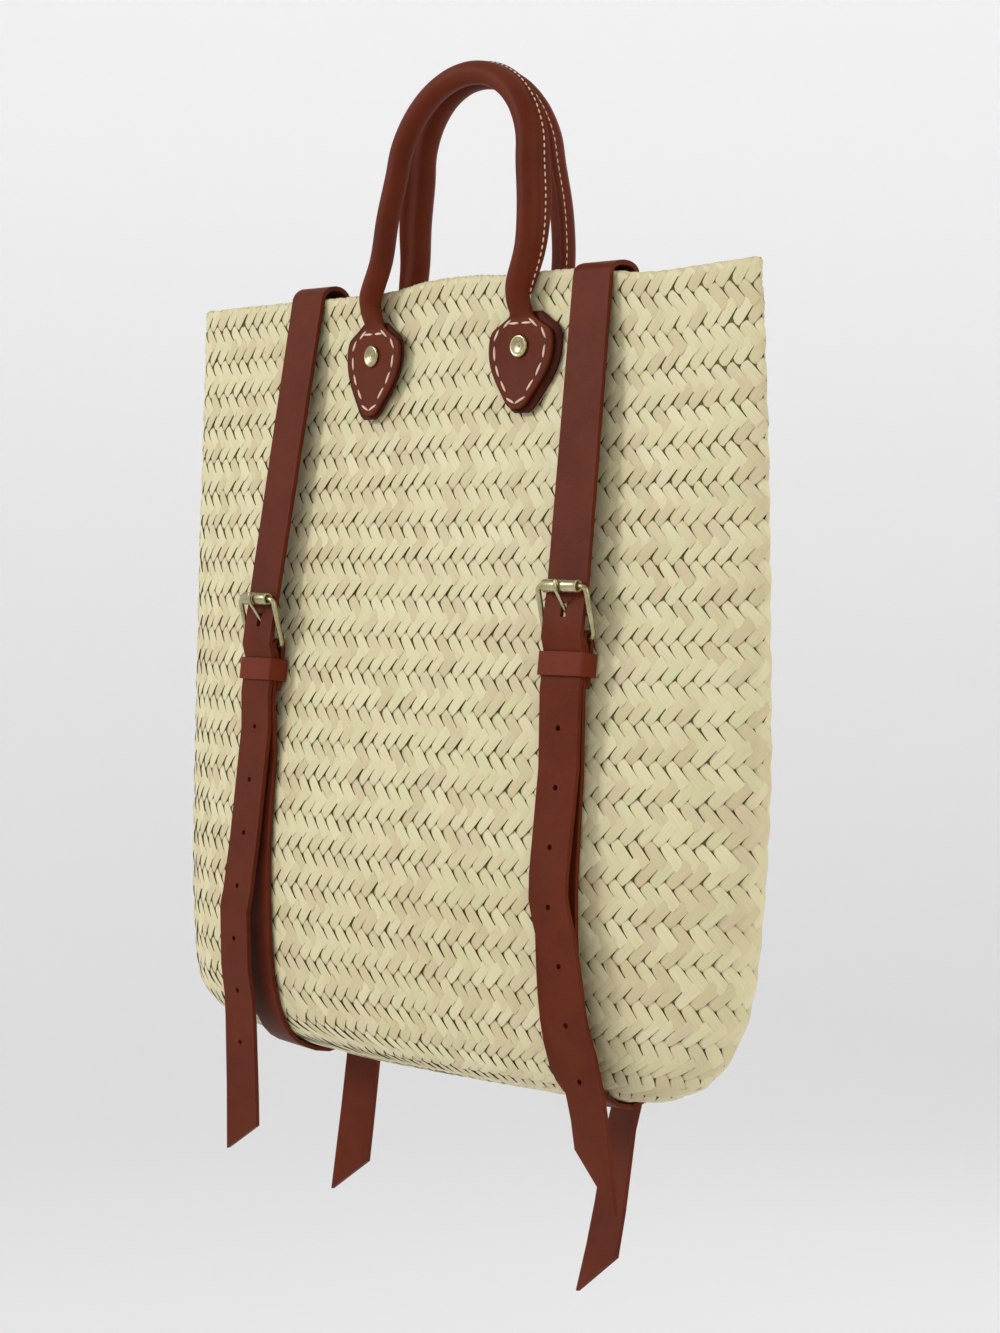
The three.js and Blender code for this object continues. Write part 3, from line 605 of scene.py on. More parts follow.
    # The leaf's own relief: crowned across, highest past its middle, diving at both ends
    crossShare = make.times(t, 2.0)
    relief = make.times(given["Crown"], make.minus(1.0, make.times(crossShare, crossShare)))
    wave = make.maths("SINE", make.times(reach, math.pi))
    relief = make.plus(relief, make.times(given["Ridge"], wave))
    relief = make.minus(relief, make.times(given["Dive"], lowEnd))
    relief = make.minus(relief, make.times(given["Dive"], make.times(highEnd, shape["highDive"])))
    relief = make.plus(relief, make.times(lift, shape["liftSpread"]))
    relief = make.plus(relief, make.times(make.times(sway, t), shape["tiltSpread"]))
    relief = make.minus(relief, given["Ridge"])

    wall = make.add("GeometryNodeObjectInfo", {"Object": given["Wall"]}).outputs["Geometry"]
    wallMap = named("wallMap", "FLOAT_VECTOR")

    def onWall(value):
        node = make.add("GeometryNodeSampleUVSurface", settings={"data_type": "FLOAT_VECTOR"})
        make.feed(node.inputs["Mesh"], wall)
        make.feed(node.inputs["Value"], value)
        make.feed(node.inputs["UV Map"], wallMap)
        make.feed(node.inputs["Sample UV"], mapPlace)
        return node.outputs["Value"]

    spot = onWall(make.add("GeometryNodeInputPosition").outputs[0])
    facing = onWall(make.add("GeometryNodeInputNormal").outputs[0])
    raised = make.add("ShaderNodeVectorMath", {"Scale": make.times(relief, toMetres)},
                      {"operation": "SCALE"})
    make.feed(raised.inputs[0], facing)
    final = make.add("ShaderNodeVectorMath", settings={"operation": "ADD"})
    make.feed(final.inputs[0], spot)
    make.feed(final.inputs[1], raised.outputs[0])
    leaves = stored(leaves, "relief", relief)
    leaves = make.add("GeometryNodeSetPosition", {
        "Geometry": leaves, "Position": final.outputs[0],
    }).outputs[0]
    make.finish(leaves, given["Straw"])
    return tree


# Shared finishes
def groupTree(name, inputs, outputs):
    tree = bpy.data.node_groups.new(name, "ShaderNodeTree")
    sockets(tree, "INPUT", inputs)
    sockets(tree, "OUTPUT", outputs)
    make = TreeMaker(tree)
    return tree, make, make.add("NodeGroupInput").outputs


# Soft patches of a lighter or darker finish
def blotchGroup():
    tree, make, given = groupTree(
        "blotches", {"Vector": ["Vector"], "Float": ["Size", "Softness"]}, {"Float": ["Mask"]})
    scale = make.over(1.0, make.times(given["Size"], toMetres))
    cloud = make.noise(given["Vector"], scale, 4.0, 0.6)
    low = make.minus(0.5, given["Softness"])
    high = make.plus(0.5, given["Softness"])
    make.add("NodeGroupOutput", {"Mask": make.ranged(cloud, low, high)})
    return tree


# Leather's fine pores and creases, as a height
def grainGroup():
    sizes = ["Pore Size", "Crease Size"]
    tree, make, given = groupTree(
        "leather grain", {"Vector": ["Vector"], "Float": sizes}, {"Float": ["Height"]})
    poreScale = make.over(1.0, make.times(given["Pore Size"], toMetres))
    creaseScale = make.over(1.0, make.times(given["Crease Size"], toMetres))
    pores = make.add("ShaderNodeTexVoronoi", {"Vector": given["Vector"], "Scale": poreScale})
    creases = make.noise(given["Vector"], creaseScale, 5.0, 0.65)
    height = make.plus(make.times(pores.outputs["Distance"], 0.45), creases)
    make.add("NodeGroupOutput", {"Height": height})
    return tree


blotches = blotchGroup()
grain = grainGroup()


def useGroup(make, tree, inputs):
    node = make.add("ShaderNodeGroup", settings={"node_tree": tree})
    for name, value in inputs.items():
        make.feed(node.inputs[name], value)
    return node.outputs[0]


def objectPlace(make):
    return make.add("ShaderNodeTexCoord").outputs["Object"]


def patches(make, size, softness):
    return useGroup(make, blotches, {"Vector": objectPlace(make), "Size": size, "Softness": softness})


def addBump(make, shader, height, strength, distance):
    bump = make.add("ShaderNodeBump", {"Strength": strength, "Distance": distance, "Height": height})
    make.feed(shader.inputs["Normal"], bump.outputs["Normal"])


def blend(make, share, first, second, way="MIX"):
    node = make.add("ShaderNodeMix", settings={"data_type": "RGBA", "blend_type": way})
    make.feed(node.inputs["Factor"], share)
    make.feed(node.inputs[6], first)
    make.feed(node.inputs[7], second)
    return node.outputs[2]


strawColours = {
    "greenish": shade(209, 203, 158),
    "light": shade(219, 210, 170),
    "mid": shade(212, 202, 161),
    "tan": shade(202, 187, 146),
    "pinkish": shade(207, 193, 157),
    # Painted shade: the crease colour darkens the hollows where the leaves dive low
    "creaseShade": shade(116, 98, 50),
    # Painted shade: the bed colour fills the dark sheet seen through the gaps of the weave
    "bed": shade(80, 64, 28),
}


def strawMaterial(name, colours, dark):
    material, make, shader = newMaterial(name)

    def stored(attribute, output="Fac"):
        return make.add("ShaderNodeAttribute", settings={"attribute_name": attribute}).outputs[output]

    tone = stored("tone")
    ramp = make.add("ShaderNodeValToRGB", {"Fac": tone})
    stops = ramp.color_ramp.elements
    stops[0].color = colours["greenish"]
    stops[1].color = colours["pinkish"]
    for position, key in ((0.25, "light"), (0.6, "mid"), (0.85, "tan")):
        stops.new(position).color = colours[key]
    rowCloud = make.add("ShaderNodeTexNoise", {"W": make.times(stored("leafRow"), 3.7), "Scale": 1.0},
                        {"noise_dimensions": "1D"})
    rowShare = make.ranged(rowCloud.outputs["Fac"], 0.4, 0.7, 0.0, 0.6)
    rowShare = make.times(rowShare, make.plus(0.4, make.times(patches(make, 60.0, 0.25), 0.6)))
    colour = blend(make, rowShare, ramp.outputs["Color"], colours["tan"])

    # Fibres run along each leaf
    stretched = make.add("ShaderNodeVectorMath", {1: (14.0, 1.1, 1.0)}, {"operation": "MULTIPLY"})
    make.feed(stretched.inputs[0], stored("leafPlace", "Vector"))
    shift = make.add("ShaderNodeCombineXYZ", {"Z": make.times(tone, 90.0)}).outputs[0]
    shifted = make.add("ShaderNodeVectorMath", settings={"operation": "ADD"})
    make.feed(shifted.inputs[0], stretched.outputs[0])
    make.feed(shifted.inputs[1], shift)
    fibre = make.noise(shifted.outputs[0], 1.0, 3.0, 0.6)
    colour = blend(make, 1.0, colour, make.ranged(fibre, 0.3, 0.7, 0.92, 1.05), "MULTIPLY")
    # Painted shade: where the leaves dive low the straw darkens towards the crease colour, scaled by
    # dark
    shadeInHollows = make.ranged(stored("relief"), -0.75, -1.75)
    colour = blend(make, make.times(shadeInHollows, dark), colour, colours["creaseShade"])
    make.feed(shader.inputs["Base Color"], colour)
    shader.inputs["Roughness"].default_value = 0.5
    shader.inputs["Specular IOR Level"].default_value = 0.35
    addBump(make, shader, fibre, 0.25, 0.0003)
    return material


# Painted shade on the sheet under the weave, two dark colours in soft patches
def shadeLayerMaterial():
    material, make, shader = newMaterial("painted shade under weave")
    colour = blend(make, patches(make, 6.0, 0.3), strawColours["bed"], strawColours["creaseShade"])
    make.feed(shader.inputs["Base Color"], colour)
    shader.inputs["Roughness"].default_value = 0.8
    return material


def weaveBasket():
    tree = weaveTree()
    outer, outerStart, outerEnd = outerSurface()
    inner, innerStart, innerEnd = innerSurface()
    straw = strawMaterial("straw", strawColours, 0.75)
    values = weaveValues
    pitch = values["rowPitch"]
    common = {
        "Columns": values["columns"],
        "Column Pitch": values["columnPitch"], "Row Pitch": pitch,
        "Leaf Length": values["leafLength"], "Leaf Width": values["leafWidth"],
        "Crown": values["crown"], "Ridge": values["ridge"], "Dive": values["dive"],
        "Wander": values["wander"], "Straw": straw,
    }
    firstRow = -2 * pitch
    weave = grown("straw_weave", tree, {
        **common, "Wall": outer, "Wall Start": outerStart, "Wall Length": outerEnd - outerStart,
        "First Row": firstRow, "Rows": math.ceil((outerEnd - firstRow) / pitch),
        "Cells Across": 3, "Cells Along": 6, "Seed": values["seed"],
    })
    dressed(weave, "straw", "basket")
    lining = grown("straw_inside", tree, {
        **common, "Wall": inner, "Wall Start": innerStart, "Wall Length": innerEnd - innerStart,
        "First Row": 0.0, "Rows": math.ceil((innerEnd - innerStart) / pitch),
        "Cells Across": 2, "Cells Along": 3, "Seed": values["seed"] + 11,
    })
    dressed(lining, "straw")
    for surface in (outer, inner):
        bpy.data.objects.remove(surface)

    # A dark sheet within the wall, in painted shade, shows through the gaps between the leaves
    places = np.concatenate([np.linspace(0.02, 6, 40), np.linspace(6, lastRow, 34)[1:]])
    angles = np.linspace(0, 2 * math.pi, 145)[:-1]
    rings = [wallRing(place, angles, 0.42) for place in places[::-1]]
    rings += [wallRing(place, angles, 0.62) for place in places]
    newPiece("straw_bed", loftMesh("straw_bed", rings, shadeLayerMaterial()), "straw")


weaveBasket()
print("The basket is woven")


# Leather
leatherColours = {
    "dark": shade(80, 28, 10),
    "warm": shade(102, 41, 19),
    "keeper": shade(112, 45, 24),
    "keeperDark": shade(96, 37, 19),
    "edge": shade(46, 18, 10),
}


def leatherMaterial(name, dark, light, roughness):
    material, make, shader = newMaterial(name)
    fine = patches(make, 5.0, 0.3)
    share = make.plus(make.times(patches(make, 34.0, 0.22), 0.7), make.times(fine, 0.3))
    make.feed(shader.inputs["Base Color"], blend(make, share, dark, light))
    gloss = make.ranged(fine, 0.0, 1.0, roughness - 0.05, roughness + 0.07)
    make.feed(shader.inputs["Roughness"], gloss)
    shader.inputs["Specular IOR Level"].default_value = 0.1
    height = useGroup(make, grain, {"Vector": objectPlace(make), "Pore Size": 0.8, "Crease Size": 3.5})
    addBump(make, shader, height, 0.35, 0.0004)
    return material


leather = leatherMaterial("leather", leatherColours["dark"], leatherColours["warm"], 0.5)
keeperColours = (leatherColours["keeperDark"], leatherColours["keeper"])
keeperLeather = leatherMaterial("keeper leather", *keeperColours, 0.4)
leatherEdge = leatherMaterial("leather edge", leatherColours["edge"], leatherColours["dark"], 0.5)

strapValues = {
    "bevel": 0.5,
    "bevelSegments": 2,
    "bevelAngle": 38,
    # How far a face turns to the side before it counts as a cut edge
    "sideways": 0.72,
    "joinWithin": 0.00001,
    "flatWithin": 0.6,
}


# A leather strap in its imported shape, with rounded, darker cut edges
def leatherStrap(name, finish):
    values = strapValues
    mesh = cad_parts[name].data.copy()
    work = bmesh.new()
    work.from_mesh(mesh)
    bmesh.ops.remove_doubles(work, verts=work.verts, dist=values["joinWithin"])
    flatWithin = math.radians(values["flatWithin"])
    bmesh.ops.dissolve_limit(work, angle_limit=flatWithin, verts=work.verts, edges=work.edges)
    bmesh.ops.recalc_face_normals(work, faces=work.faces)
    for face in work.faces:
        face.material_index = 1 if abs(face.normal.x) > values["sideways"] else 0
    work.to_mesh(mesh)
    work.free()
    mesh.materials.clear()
    mesh.materials.append(finish)
    mesh.materials.append(leatherEdge)
    mesh.shade_smooth()
    piece = newPiece(name + "_leather", mesh, "leather", name)
    bevel = piece.modifiers.new("rounded edges", "BEVEL")
    bevel.width = values["bevel"] * toMetres
    bevel.segments = values["bevelSegments"]
    bevel.limit_method = "ANGLE"
    bevel.angle_limit = math.radians(values["bevelAngle"])
    normals = piece.modifiers.new("even light", "WEIGHTED_NORMAL")
    normals.keep_sharp = True


for sideName in ("left", "right"):
    leatherStrap(sideName + "_upper_strap", leather)
    leatherStrap(sideName + "_lower_strap", leather)
for faceName in ("front", "back"):
    for sideName in ("left", "right"):
        leatherStrap(f"{faceName}_{sideName}_keeper", keeperLeather)
print("The straps and keepers are cut")


# Brass
brassColours = {
    "bright": shade(206, 196, 160),
    "aged": shade(150, 140, 96),
    "dull": shade(104, 94, 62),
}


def brassMaterial():
    material, make, shader = newMaterial("aged brass")
    fine = patches(make, 1.4, 0.3)
    colour = blend(make, patches(make, 9.0, 0.25), brassColours["aged"], brassColours["bright"])
    colour = blend(make, make.times(fine, 0.35), colour, brassColours["dull"])
    make.feed(shader.inputs["Base Color"], colour)
    shader.inputs["Metallic"].default_value = 1.0
    make.feed(shader.inputs["Roughness"], make.ranged(fine, 0.0, 1.0, 0.2, 0.38))
    addBump(make, shader, fine, 0.15, 0.0002)
    return material


brass = brassMaterial()


# A round wire through points, whose sections keep one side towards a given direction
def wireMesh(name, points, radius, sides, sideways, material, isLoop=False, taper=None):
    rings = []
    last = len(points) - 1
    for i, point in enumerate(points):
        before = points[i - 1 if i > 0 else (last if isLoop else 0)]
        after = points[i + 1 if i < last else (0 if isLoop else last)]
        tangent = (after - before).normalized()
        second = tangent.cross(sideways).normalized()
        first = second.cross(tangent)
        size = radius * (taper[i] if taper else 1)
        ring = []
        for j in range(sides):
            angle = 2 * math.pi * (j + 0.5) / sides
            ring.append(point + first * size * math.cos(angle) + second * size * math.sin(angle))
        rings.append(ring)
    return loftMesh(name, rings, material, isLoop)


def smoothPath(points, steps):
    places = np.linspace(0, len(points) - 1, (len(points) - 1) * steps + 1)
    return [Vector(row) for row in along([tuple(point) for point in points], places)]


# A turned shape: its profile's radius and height, set round an axis at a place
def turnedMesh(name, profile, origin, sideways, axis, segments, material):
    other = axis.cross(sideways)
    rings = []
    for j in range(segments):
        angle = 2 * math.pi * j / segments
        outward = sideways * math.cos(angle) + other * math.sin(angle)
        rings.append([origin + outward * radius + axis * height for radius, height in profile])
    return loftMesh(name, rings, material, isLoop=True)


strapPlaces = {
    "width": 25,
    "thickness": 2.4,
    "spacing": 229,
    "rimSpacing": 216,
    "straightenBy": 150,
    "rollerDrops": {
        "front_left": 159.5, "front_right": 150.5, "back_left": 150.5, "back_right": 159.5,
    },
}
buckleValues = {
    "gap": 0.4,
    "closeGap": 0.3,
    "keeperThickness": 1.6,
    "wire": 2.8,
    "width": 28,
    "corner": 3.2,
    "rollerDiameter": 6.6,
    "rollerLength": 22,
    "rollerGap": 0.5,
    "heelDrop": 24,
    "heelSink": 0.2,
    "runLift": 0.1,
    "billetLift": 1.4,
    "prong": 1.9,
    "prongDown": 11,
    # The prong rests on the strap, bends up beside the roller and ends past it
    "prongRest": 5,
    "prongBend": 4,
    "prongRise": 0.6,
    "prongTip": 2.6,
    "prongSides": 10,
    "sides": 12,
}
sides = {"left": -1, "right": 1}
faces = {"front": -1, "back": 1}


def strapX(side, z):
    share = min(max((-rimDrop - z) / strapPlaces["straightenBy"], 0), 1)
    return side * mix(strapPlaces["rimSpacing"], strapPlaces["spacing"], share) / 2


# The buckle's layers, as distances out from the straw
def buckleLayers(values):
    halfStrap = strapPlaces["thickness"] / 2
    thickness = strapPlaces["thickness"]
    wire = values["wire"] / 2
    flap = values["closeGap"] + values["keeperThickness"] + values["gap"] + halfStrap
    fold = wire + values["closeGap"] + halfStrap
    heel = flap + fold - values["heelSink"]
    run = flap + thickness + values["gap"] + values["runLift"]
    billet = run + thickness + values["gap"]
    roller = billet + values["billetLift"] + halfStrap + values["gap"] + values["rollerDiameter"] / 2
    return {"heel": heel, "roller": roller, "wire": wire}


def buckleFrame(name, place, layers, values):
    top = place.at(0, layers["roller"])
    heel = place.at(values["heelDrop"], layers["heel"])
    run = heel - top
    length = run.length
    run.normalize()
    corner = values["corner"]
    half = values["width"] / 2 + layers["wire"]
    points = []
    for u, v, start in ((1, 0, -90), (1, 1, 0), (-1, 1, 90), (-1, 0, 180)):
        middleU = u * (half - corner)
        middleV = length - corner if v else corner
        for turn in range(0, 91, 15):
            angle = math.radians(start + turn)
            points.append(top + place.across * (middleU + corner * math.cos(angle))
                          + run * (middleV + corner * math.sin(angle)))
    sideways = place.across.cross(run).normalized()
    return wireMesh(name, points, layers["wire"], values["sides"], sideways, brass, isLoop=True)


def buckleRoller(name, place, layers, values):
    outer = values["rollerDiameter"] / 2
    inner = layers["wire"] + values["rollerGap"]
    half = values["rollerLength"] / 2
    soft = 0.5
    profile = [(inner, -half), (outer - soft, -half), (outer - 0.3 * soft, -half + 0.3 * soft),
               (outer, -half + soft), (outer, half - soft), (outer - 0.3 * soft, half - 0.3 * soft),
               (outer - soft, half), (inner, half)]
    return turnedMesh(name, profile, place.at(0, layers["roller"]), place.out, place.across, 28, brass)


def buckleProng(name, place, layers, values):
    radius = values["prong"] / 2
    curl = layers["wire"] + values["closeGap"] + radius
    over = values["rollerDiameter"] / 2 + values["closeGap"] + 0.1 + radius
    heelDrop = values["heelDrop"]
    heel = layers["heel"]
    roller = layers["roller"]
    path = []
    for turn in range(130, -146, -45):
        angle = math.radians(turn)
        path.append((heelDrop + curl * math.cos(angle), heel + curl * math.sin(angle)))
    down = values["prongDown"]
    path.append((heelDrop - values["prongRest"], heel - curl * 0.45))
    path.append((down + values["prongBend"], heel + 0.2))
    path.append((down + values["prongRise"], mix(heel, roller, 0.46)))
    for turn in (28, 60, 90):
        angle = math.radians(turn)
        path.append((over * math.cos(angle), roller + over * math.sin(angle)))
    path.append((-values["prongTip"], roller + over - 0.3))
    points = smoothPath([place.at(down, out) for down, out in path], 3)
    return wireMesh(name, points, radius, values["prongSides"], place.across, brass)


def addBuckles():
    layers = buckleLayers(buckleValues)
    for faceName, face in faces.items():
        for sideName, side in sides.items():
            name = f"{faceName}_{sideName}"
            z = -rimDrop - strapPlaces["rollerDrops"][name]
            place = FacePlace(strapX(side, z), z, face)
            parts = {"frame": buckleFrame, "roller": buckleRoller, "prong": buckleProng}
            for part, build in parts.items():
                node = f"{name}_buckle_{part}"
                mesh = build(f"{node}_brass", place, layers, buckleValues)
                newPiece(f"{node}_brass", mesh, "brass", node)


addBuckles()
print("The buckles are bent and hung")


# Handles
handleValues = {
    "diameter": 12,
    "arch": 98,
    "spacing": 111,
    "shift": 6,
    # How far each handle leans along the width on its way up
    "leans": {"front": 13, "back": 5},
    # How the legs curve in, lean and draw together as they rise
    "legPower": 0.5,
    "leanPower": 0.35,
    "closePower": 1.6,
    "topGap": 1.8,
    "seamReach": 5,
    "seamThickness": 2.8,
    "tabDrop": 16,
    "tabHeight": 46,
    "tabWidth": 43,
    "tabThickness": 2.4,
    "tabLift": 2.5,
    "backingThickness": 1.6,
    "backingPeek": 4,
    "gap": 0.4,
    "ringSteps": 5,
    # The point of each ring where the stitches of the seam run, on its outward side
    "seamColumn": 2,
    # Down the tab, and its width there, as shares
    "tabRows": [
        (0, 0.36), (0.08, 0.62), (0.17, 0.92), (0.32, 1), (0.5, 0.94),
        (0.68, 0.74), (0.84, 0.48), (0.95, 0.29), (1, 0.12),
    ],
}
tabTop = -rimDrop - handleValues["tabDrop"]
archRadius = handleValues["arch"] / 2
handleRadius = handleValues["diameter"] / 2
archHeight = handleRadius - archRadius
backingOff = handleValues["gap"]
tabOff = backingOff + handleValues["backingThickness"] + handleValues["gap"]
seamAngle = math.pi / 4
seamSpread = math.atan(handleValues["seamThickness"] / 2 / (handleRadius + handleValues["seamReach"]))


def tabLiftAt(x):
    edge = handleValues["spacing"] / 2 + handleValues["tabWidth"] / 2
    share = (edge - abs(x - handleValues["shift"])) / handleValues["tabWidth"]
    return handleValues["tabLift"] * min(max(share, 0), 1)


def tabMiddle(side):
    return handleValues["shift"] + side * handleValues["spacing"] / 2


# Angles round the handle, and how far its sewn seam stands out at each
def handleRing():
    seam = [(-0.5, 0), (-0.35, 0.02), (-0.2, 0.5), (-seamSpread, 0.95), (-0.05, 1.02),
            (0.05, 1.02), (seamSpread, 0.95), (0.2, 0.5), (0.35, 0.02), (0.5, 0)]
    ring = [(seamAngle + turn, share) for turn, share in seam]
    rest = 22
    for j in range(1, rest):
        ring.append((seamAngle + 0.5 + j * (2 * math.pi - 1) / rest, 0))
    return ring


def handleSection(station, ring):
    points = []
    for angle, seam in ring:
        c = math.cos(angle)
        s = math.sin(angle)
        grow = 1 + seam * station["seam"] * handleValues["seamReach"] / handleRadius
        power = 2 / station["squareness"]
        sideBy = grow * station["width"] * math.copysign(abs(c) ** power, c)
        inBy = grow * station["thickness"] * math.copysign(abs(s) ** power, s)
        point = station["middle"] + station["side"] * sideBy + station["inside"] * inBy
        if station["onFace"]:
            off = station["off"] - inBy + tabLiftAt(point.x)
            point.y = station["face"] * (faceDepth(point.x, point.z) + off)
        points.append(tuple(point))
    return points


# One half of a handle, from the tab's tip to the top of the arch
def handleHalf(side, face, lean):
    values = handleValues
    gap = values["gap"]
    inside = Vector((0, -face, 0))
    half = tabMiddle(side)
    flat = {"side": Vector((side, 0, 0)), "inside": inside, "face": face, "onFace": True, "seam": 0}
    stations = []
    for down, width in reversed(values["tabRows"]):
        stations.append({
            **flat, "middle": Vector((half, 0, tabTop - values["tabHeight"] * down)),
            "off": tabOff + values["tabThickness"] / 2, "width": values["tabWidth"] * width / 2,
            "thickness": values["tabThickness"] / 2, "squareness": 7,
        })
    for above, wide, thick, squareness in ((0.28, 1.16, 0.55, 2.8), (0.56, 1.05, 0.84, 2.2)):
        stations.append({
            **flat, "middle": Vector((half, 0, tabTop + values["tabDrop"] * above)),
            "off": mix(tabOff, gap, above) + handleRadius * thick, "width": handleRadius * wide,
            "thickness": handleRadius * thick, "squareness": squareness,
        })
    rimOut = faceDepth(half, -rimDrop) + tabLiftAt(half) + gap + handleRadius
    path = []
    for share in (0, 0.3, 0.65, 1):
        x = side * mix(archRadius, values["spacing"] / 2, (1 - share) ** values["legPower"])
        path.append(Vector((x, 0, mix(-rimDrop, archHeight, share))))
    for turn in range(18, 91, 18):
        angle = math.radians(turn)
        x = side * archRadius * math.cos(angle)
        path.append(Vector((x, 0, archHeight + archRadius * math.sin(angle))))
    for point in path:
        rise = max((point.z + rimDrop) / (rimDrop + handleRadius), 0)
        point.y = face * mix(rimOut, handleRadius + values["topGap"], rise ** values["closePower"])
        point.x += values["shift"] + lean * rise ** values["leanPower"]
    for i, middle in enumerate(path):
        before = path[max(i - 1, 0)]
        after = path[min(i + 1, len(path) - 1)].copy()
        isTop = i == len(path) - 1
        if isTop:
            after = Vector((2 * middle.x - before.x, before.y, before.z))
        tangent = (after - before).normalized()
        sideways = inside.cross(tangent).normalized()
        if sideways.x * side < 0 or (isTop and sideways.z < 0):
            sideways.negate()
        height = max(middle.z - archHeight, 0) / archRadius
        stations.append({
            "middle": middle, "side": sideways, "face": face, "onFace": False,
            "inside": (inside - tangent * inside.dot(tangent)).normalized(),
            "width": handleRadius, "thickness": handleRadius, "squareness": 2,
            "seam": min(0.5 + i * 0.25, 1) * (1 - 0.6 * height),
        })
    return stations


def handleRings(face, lean):
    ring = handleRing()
    right = handleHalf(1, face, lean)
    left = handleHalf(-1, face, lean)[:-1]
    rings = np.array([handleSection(station, ring) for station in right + left[::-1]])
    count = len(rings)
    steps = handleValues["ringSteps"]
    fine = along(rings.reshape(count, -1), np.linspace(0, count - 1, (count - 1) * steps + 1))
    return fine.reshape(len(fine), -1, 3)


# The second layer of leather behind a tab
def backingMesh(name, side, face):
    values = handleValues
    peek = values["backingPeek"]
    half = tabMiddle(side) + side * peek / 2
    rows = along(values["tabRows"], np.linspace(0, len(values["tabRows"]) - 1, 41))
    soft = 0.4
    rings = []
    for down, width in rows:
        z = tabTop + peek / 2 - (values["tabHeight"] + peek) * down
        reach = (values["tabWidth"] * max(width, 0.06) + peek) / 2
        ring = []
        flat = 1 - soft / reach
        for u, v in ((1, 0.7), (flat, 1), (0.5, 1), (0, 1), (-0.5, 1), (-flat, 1),
                     (-1, 0.7), (-1, 0.3), (-flat, 0), (0, 0), (flat, 0), (1, 0.3)):
            x = half + u * reach
            off = backingOff + v * values["backingThickness"] + tabLiftAt(x)
            ring.append((x, face * (faceDepth(x, z) + off), z))
        rings.append(ring)
    return loftMesh(name, rings, leatherEdge)


rivetValues = {
    "cap": 11.4,
    "drop": 31.5,
    "closeGap": 0.3,
}


# A dished rivet cap with a rolled rim
def rivetMesh(name, side, face):
    x = tabMiddle(side)
    place = FacePlace(x, -rimDrop - rivetValues["drop"], face, tabLiftAt)
    cap = rivetValues["cap"] / 2
    seat = tabOff + handleValues["tabThickness"] + rivetValues["closeGap"]
    inside = -tabLiftAt(x) - basketWall - handleValues["gap"]
    profile = [
        (0.02, inside - 1.2), (0.6 * cap, inside - 1.1), (0.75 * cap, inside - 0.8),
        (0.75 * cap, inside), (1.7, inside), (1.7, seat), (0.96 * cap, seat),
        (cap, seat + 0.4), (0.97 * cap, seat + 1),
        (0.88 * cap, seat + 1.4), (0.76 * cap, seat + 1.2), (0.62 * cap, seat + 0.75),
        (0.4 * cap, seat + 0.4), (0.2 * cap, seat + 0.24), (0.02, seat + 0.2),
    ]
    return turnedMesh(name, profile, place.origin, place.across, place.out, 32, brass)


# Stitches
stitchValues = {
    "tab": {"length": 7.2, "pitch": 9, "thread": 1.2, "inset": 4.6},
    "seam": {"length": 2.6, "pitch": 3.6, "thread": 0.8},
    # The shortest and the longest stitch, as shares of the length
    "lengths": (0.88, 1.1),
}


# Short lengths of thread along an edge path
def stitchTree():
    tree = bpy.data.node_groups.new("stitches", "GeometryNodeTree")
    sockets(tree, "INPUT", {
        "Geometry": ["Geometry"], "Float": ["Pitch", "Length", "Thread"], "Int": ["Seed"],
        "Material": ["Thread Finish"],
    })
    sockets(tree, "OUTPUT", {"Geometry": ["Geometry"]})
    make = TreeMaker(tree)
    given = make.add("NodeGroupInput").outputs
    path = make.add("GeometryNodeMeshToCurve", {"Mesh": given["Geometry"]}).outputs[0]
    path = make.add("GeometryNodeResampleCurve",
                    {"Curve": path, "Length": make.times(given["Pitch"], toMetres)},
                    {"mode": "LENGTH"}).outputs[0]
    tangent = make.add("GeometryNodeInputTangent").outputs[0]
    turn = make.add("FunctionNodeAlignRotationToVector", {"Vector": tangent}, {"axis": "X"})
    thread = make.add("GeometryNodeMeshUVSphere", {"Segments": 8, "Rings": 6, "Radius": 0.5 * toMetres})
    thick = given["Thread"]
    vary = make.add("FunctionNodeRandomValue", {"Seed": given["Seed"]}, {"data_type": "FLOAT"})
    # The node has these ends for vectors, floats and whole numbers, in that order
    ends = [socket for socket in vary.inputs if socket.name in ("Min", "Max")]
    for socket, value in zip(ends[2:4], stitchValues["lengths"]):
        socket.default_value = value
    size = make.add("ShaderNodeCombineXYZ", {
        "X": make.times(given["Length"], vary.outputs[1]), "Y": thick, "Z": thick,
    })
    stitches = make.add("GeometryNodeInstanceOnPoints", {
        "Points": path, "Instance": thread.outputs[0], "Rotation": turn.outputs[0],
        "Scale": size.outputs[0],
    }).outputs[0]
    stitches = make.add("GeometryNodeRealizeInstances", {"Geometry": stitches}).outputs[0]
    make.finish(stitches, given["Thread Finish"])
    return tree


def threadMaterial():
    material, make, shader = newMaterial("cream thread")
    twist = make.add("ShaderNodeTexWave",
                     {"Vector": objectPlace(make), "Scale": 900.0, "Distortion": 1.5},
                     {"bands_direction": "DIAGONAL"})
    colour = blend(make, patches(make, 4.0, 0.3), shade(214, 182, 152), shade(240, 218, 196))
    make.feed(shader.inputs["Base Color"], colour)
    shader.inputs["Roughness"].default_value = 0.7
    addBump(make, shader, twist.outputs["Fac"], 0.4, 0.0002)
    return material


stitchNodes = stitchTree()
threadFinish = threadMaterial()


# The paths are lines of points; each becomes a row of stitches in one piece
def stitchPiece(name, paths, kind, seed):
    points = []
    edges = []
    for path in paths:
        start = len(points)
        points.extend(tuple(toMetres * value for value in point) for point in path)
        edges.extend((start + i, start + i + 1) for i in range(len(path) - 1))
    line = bpy.data.meshes.new(name)
    line.from_pydata(points, edges, [])
    values = stitchValues[kind]
    piece = grown(name, stitchNodes, {
        "Pitch": float(values["pitch"]), "Length": float(values["length"]),
        "Thread": float(values["thread"]), "Seed": seed, "Thread Finish": threadFinish,
    }, line)
    return dressed(piece, "thread")


